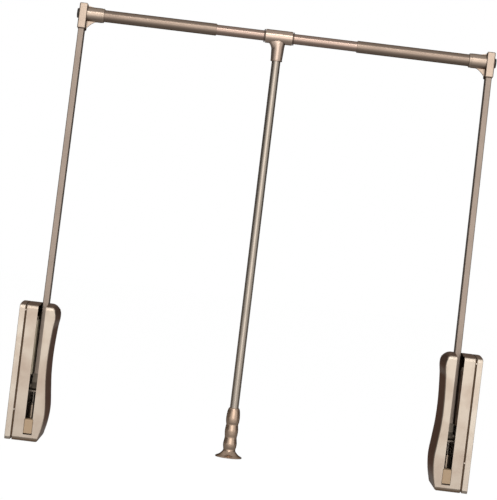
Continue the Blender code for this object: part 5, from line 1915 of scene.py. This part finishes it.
@dataclass(frozen=True)
class PullHandle:
    """The tee that turns on the bar, and the rod and grip that hang from it."""

    body: str = "pull_handle"
    tee_length: float = 56.0 * MM
    tee: float = 28.4 * MM
    bore: float = 21.8 * MM
    stem_top: float = 26.0 * MM
    stem_end: float = 24.0 * MM
    stem_below: float = 50.0 * MM
    fillet: float = 13.0 * MM
    flares: Pair = (10.0 * MM, 3.0 * MM)
    socket: float = 30.0 * MM
    rod: float = 18.0 * MM
    rod_wall: float = 1.5 * MM
    below: float = 871.0 * MM
    grip_length: float = 102.0 * MM
    grip_bore: float = 84.0 * MM
    flange: float = 55.4 * MM
    plug: float = 38.0 * MM
    plug_depth: float = 3.0 * MM
    plug_groove: tuple[float, ...] = (0.72, 0.68, 0.6, 0.56)
    swells: tuple[Pair, ...] = (
        (0.0, 0.375), (0.02, 0.415), (0.06, 0.458), (0.14, 0.495), (0.22, 0.508), (0.29, 0.486),
        (0.335, 0.450), (0.38, 0.468), (0.45, 0.495), (0.53, 0.480), (0.60, 0.450), (0.66, 0.480),
        (0.72, 0.508), (0.785, 0.492), (0.84, 0.452), (0.87, 0.475), (0.90, 0.555), (0.928, 0.655),
        (0.95, 0.760), (0.966, 0.875), (0.98, 0.975), (0.99, 1.0), (1.0, 0.985),
    )

    def stem_rings(self) -> list[Ring]:
        """Build the stem's rings, which widen only along the bar as they near it, more to the left.

        Returns:
            The rings, from the lip to the middle of the tee.
        """
        end, radius = -self.stem_below, self.tee / 2
        lip, top = self.stem_end / 2, self.stem_top / 2
        left, right = self.flares
        steps = [(end, 1.0 * MM, 0.0), (end, lip - 0.6 * MM, 0.0), (end + 0.4 * MM, lip, 0.0)]
        steps += [(end + 2.0 * MM, lip + 0.15 * MM, 0.0), (end + 2.4 * MM, lip - 0.25 * MM, 0.0)]
        for i in range(10):
            share = i / 9
            place = -radius - self.fillet + share * (self.fillet + 3.0 * MM)
            steps.append((place, top - 1.4 * MM * share**2, share**2))
        steps += [(-radius * 0.45, top - 2.0 * MM, 0.8), (0.0, radius * 0.4, 0.0)]
        rings = []
        for place, deep, share in steps:
            ring = []
            for x, y in ((math.cos(2 * math.pi * i / 64), math.sin(2 * math.pi * i / 64)) for i in range(64)):
                ring.append(Axis.Z.point(place, (deep + (left if x < 0 else right) * share) * x, deep * y))
            rings.append(ring)
        return rings

    def tee_mesh(self) -> Mesh:
        """Build the tee: a turned body on the bar and a filleted stem with a lip.

        Returns:
            The mesh.
        """
        half, radius = self.tee_length / 2, self.tee / 2
        body = turned(Axis.X, eased([
            (-half, 1.0 * MM), (-half, radius), (half, radius), (half, 1.0 * MM),
        ], 1.0 * MM, 4), 72)
        end = -self.stem_below
        tee = combine(body, Cut.ONTO, close_rings(self.stem_rings()))
        bore = rod(Axis.X, -half - OVER, half + OVER, self.bore / 2, 64)
        socket = rod(Axis.Z, end - OVER, end + self.socket, self.rod / 2 + GAP, 48)
        seat = (end + self.socket / 2, 0.0)
        hole = rod(Axis.Y, self.rod / 2, self.stem_top / 2 + OVER, SCREW_BORE, 24, seat)
        return combine(tee, Cut.AWAY, bore, socket, hole)

    def grip_mesh(self) -> Mesh:
        """Build the grip: three swells, a flared end, a bore for the rod and a recess for the plug.

        Returns:
            The mesh.
        """
        top = -self.below + self.grip_length
        bore = self.rod / 2 + GAP
        rim = self.plug / 2 + GAP
        recess = -self.below + self.plug_depth + GAP
        profile = [(top - self.grip_bore, bore), (top - 0.3 * MM, bore), (top, bore + 0.25 * MM)]
        steps = 110
        for i in range(steps + 1):
            share = i / steps
            radius = smooth_curve(self.swells, share) * self.flange / 2
            profile.append((top - share * self.grip_length, max(radius, bore + 0.4 * MM)))
        profile += [(-self.below, rim + 0.5 * MM), (-self.below + 0.4 * MM, rim), (recess, rim)]
        profile += [(recess, 0.5 * MM), (top - self.grip_bore, 0.5 * MM)]
        return turned(Axis.Z, profile, 96, bored=True)

    def plug_mesh(self) -> Mesh:
        """Build the plate that closes the flared end, with a shallow ring in it.

        Returns:
            The mesh.
        """
        low, high = -self.below + GAP, -self.below + self.plug_depth
        radius = self.plug / 2
        sunk = low + 0.6 * MM
        groove = [(place, radius * share) for place, share in zip((low, sunk, sunk, low), self.plug_groove)]
        corners = [(high, 0.5 * MM), (high, radius), (low, radius), *groove, (low, 0.5 * MM)]
        return turned(Axis.Z, eased(corners, 0.5 * MM, 3), 72)

    def dress(self, shop: Shop) -> None:
        """Make the handle's pieces.

        Args:
            shop: The shop.
        """
        place = LAYOUT.handle()
        shop.add("handle_tee_cast", self.tee_mesh(), "tee_cast", self.body, ["handle_tee"], place)
        top = -self.stem_below + self.socket - GAP
        bottom = -self.below + self.grip_length - self.grip_bore + GAP
        sizes = tube_sizes(self.rod, self.rod_wall, bottom, top)
        shop.tube("handle_rod_drawn", sizes, "pull_rod", self.body, "handle_rod", place)
        shop.add("handle_grip_turned", self.grip_mesh(), "grip_plastic", self.body, ["handle_grip"], place)
        shop.add("grip_plug_plate", self.plug_mesh(), "dark_plastic", self.body, ["grip_plug"], place)
        back = place @ TURNED_TO_BACK
        seat = Vector((0.0, self.stem_below - self.socket / 2, self.stem_top / 2 + GAP))
        screw = screw_mesh(4.0 * MM, 7.0 * MM, 3.0 * MM, 2.2 * MM)
        screw_piece(shop, "tee_lock_screw", screw, [seat], self.body, ["tee_screw"], back)


@dataclass(frozen=True)
class Lamp:
    """A soft lamp: where it stands, what it faces, its size and its power."""

    name: str
    place: tuple[float, float, float]
    aim: tuple[float, float, float]
    size: Pair
    power: float

    def build(self) -> None:
        """Build the lamp, which the camera doesn't see."""
        data = bpy.data.lights.new(self.name, "AREA")
        data.shape = "RECTANGLE"
        data.size, data.size_y = self.size
        data.energy = self.power
        lamp = linked(self.name, data)
        towards = Vector(self.aim) - Vector(self.place)
        turn = towards.to_track_quat("-Z", "Y").to_matrix().to_4x4()
        lamp.matrix_world = Matrix.Translation(self.place) @ turn
        lamp.visible_camera = False


@dataclass(frozen=True)
class Studio:
    """The camera, the lamps, the pale surroundings and the floor."""

    camera_place: tuple[float, float, float] = (0.4218, -3.6468, 0.3539)
    yaw: float = math.radians(0.283)
    pitch: float = math.radians(-0.424)
    roll: float = math.radians(6.895)
    focal: float = 1799.8
    image_width: float = 497.0
    sensor: float = 36.0
    floor_height: float = -0.45
    floor_size: float = 40.0
    ambient: float = 0.42
    mirrored: Pair = (0.15, 0.95)
    facing: tuple[float, float, float] = (0.2, -0.98, 0.0)
    facing_span: Pair = (0.3, 0.72)
    overhead: float = 0.58
    fade_span: Pair = (0.2, 0.8)
    floor_matt: Colour = (0.82, 0.82, 0.82)
    floor_faint: Colour = (0.16, 0.16, 0.16)
    floor_seen: float = 0.93
    floor_near: float = 0.24
    floor_far: float = 0.85
    floor_fade_span: Pair = (0.5, 2.6)
    lamps: tuple[Lamp, ...] = (
        Lamp("front", (0.72, -4.6, 1.05), (0.45, 0.0, 0.3), (3.4, 2.9), 35.0),
        Lamp("high", (0.35, -3.4, 2.95), (0.45, 0.0, 0.3), (2.6, 0.7), 30.0),
    )

    def build(self) -> None:
        """Build the whole studio."""
        self._camera()
        self._surroundings()
        self._floor()
        for lamp in self.lamps:
            lamp.build()
        bpy.context.scene.view_settings.view_transform = "Standard"

    def _camera(self) -> None:
        """Build the camera at the photograph's viewing angle."""
        ahead = math.cos(self.pitch)
        forward = Vector((math.sin(self.yaw) * ahead, math.cos(self.yaw) * ahead, math.sin(self.pitch)))
        level = Vector((math.cos(self.yaw), -math.sin(self.yaw), 0.0))
        above = level.cross(forward)
        right = math.cos(self.roll) * level + math.sin(self.roll) * above
        up = -math.sin(self.roll) * level + math.cos(self.roll) * above
        data = bpy.data.cameras.new("camera")
        data.sensor_fit = "HORIZONTAL"
        data.sensor_width = self.sensor
        data.lens = self.focal * self.sensor / self.image_width
        data.clip_end = 100.0
        camera = linked("camera", data)
        turn = Matrix((right, up, -forward)).transposed().to_4x4()
        camera.matrix_world = Matrix.Translation(self.camera_place) @ turn
        bpy.context.scene.camera = camera

    def _strength(self, sketch: Sketch, plain: object, mirrored: object, seen: float) -> Socket:
        """Add the nodes that choose a strength by what sees it.

        Args:
            sketch: The tree's sketch.
            plain: Strength as light on matt surfaces.
            mirrored: Strength in metal and glass.
            seen: Strength that the camera sees.

        Returns:
            The strength's socket.
        """
        path = sketch.put("ShaderNodeLightPath")
        shiny = sketch.math("MAXIMUM", path.outputs["Is Glossy Ray"], path.outputs["Is Transmission Ray"])
        level = sketch.span(shiny, 0.0, 1.0, plain, mirrored)
        return sketch.span(path.outputs["Is Camera Ray"], 0.0, 1.0, level, seen)

    def _surroundings(self) -> None:
        """Build the plain white surroundings, which light the object less than they show."""
        world = bpy.data.worlds.new("surroundings")
        bpy.context.scene.world = world
        sketch = emptied(world)
        place = sketch.put("ShaderNodeTexCoord").outputs["Generated"]
        height = sketch.math("ABSOLUTE", sketch.put("ShaderNodeSeparateXYZ", {0: place}).outputs[2])
        ahead = sketch.dot(place, self.facing)
        level = sketch.span(ahead, *self.facing_span, *self.mirrored)
        mirrored = sketch.span(height, *self.fade_span, level, self.overhead)
        strength = self._strength(sketch, self.ambient, mirrored, 1.0)
        light = sketch.made("ShaderNodeBackground", {"Color": rgba(WHITE), "Strength": strength})
        sketch.put("ShaderNodeOutputWorld", {"Surface": light})

    def _floor(self) -> None:
        """Build the pale floor, which shows as white and keeps the object's shadow."""
        half = self.floor_size / 2
        mesh = bpy.data.meshes.new("floor")
        corners = [(-half, -half), (half, -half), (half, half), (-half, half)]
        mesh.from_pydata([(x, y, self.floor_height) for x, y in corners], [], [(0, 1, 2, 3)])
        material = bpy.data.materials.new("pale_floor")
        sketch = emptied(material)
        matt = sketch.made("ShaderNodeBsdfDiffuse", {"Color": rgba(self.floor_matt)})
        faint = sketch.made("ShaderNodeBsdfDiffuse", {"Color": rgba(self.floor_faint)})
        ahead = sketch.dot(sketch.place(), self.facing)
        mirrored = sketch.span(ahead, *self.floor_fade_span, self.floor_near, self.floor_far)
        strength = self._strength(sketch, 0.0, mirrored, self.floor_seen)
        white = sketch.made("ShaderNodeEmission", {"Color": rgba(WHITE), "Strength": strength})
        shown = sketch.made("ShaderNodeAddShader", {0: faint, 1: white})
        share = self._strength(sketch, 0.0, 1.0, 1.0)
        mix = sketch.made("ShaderNodeMixShader", {0: share, 1: matt, 2: shown})
        sketch.put("ShaderNodeOutputMaterial", {"Surface": mix})
        mesh.materials.append(material)
        linked("floor", mesh)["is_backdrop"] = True


def note_sizes(cad: tuple[Vector, Vector], dressed: tuple[Vector, Vector]) -> None:
    """Args:
        cad: Lowest and highest corner of the CAD model.
        dressed: Lowest and highest corner of the dressed model.
    """
    boxes = {
        name: [[float(value) for value in corner] for corner in box]
        for name, box in (("cad", cad), ("dressed", dressed))
    }
    LOG.info("sizes: %s", boxes)


def main() -> None:
    """Load the frame, build the studio and each sub-assembly in order, and note the sizes."""
    logging.basicConfig(level=logging.INFO, format="%(name)s: %(message)s")
    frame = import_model()
    cad_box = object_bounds()
    Studio().build()
    shop = Shop(frame)
    for hand in Hand:
        Casing(hand).dress(shop)
        Mechanism(hand).dress(shop)
        SwingArm(hand).dress(shop)
    TelescopicBar().dress(shop)
    PullHandle().dress(shop)
    note_sizes(cad_box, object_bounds())


if __name__ == "__main__":
    main()
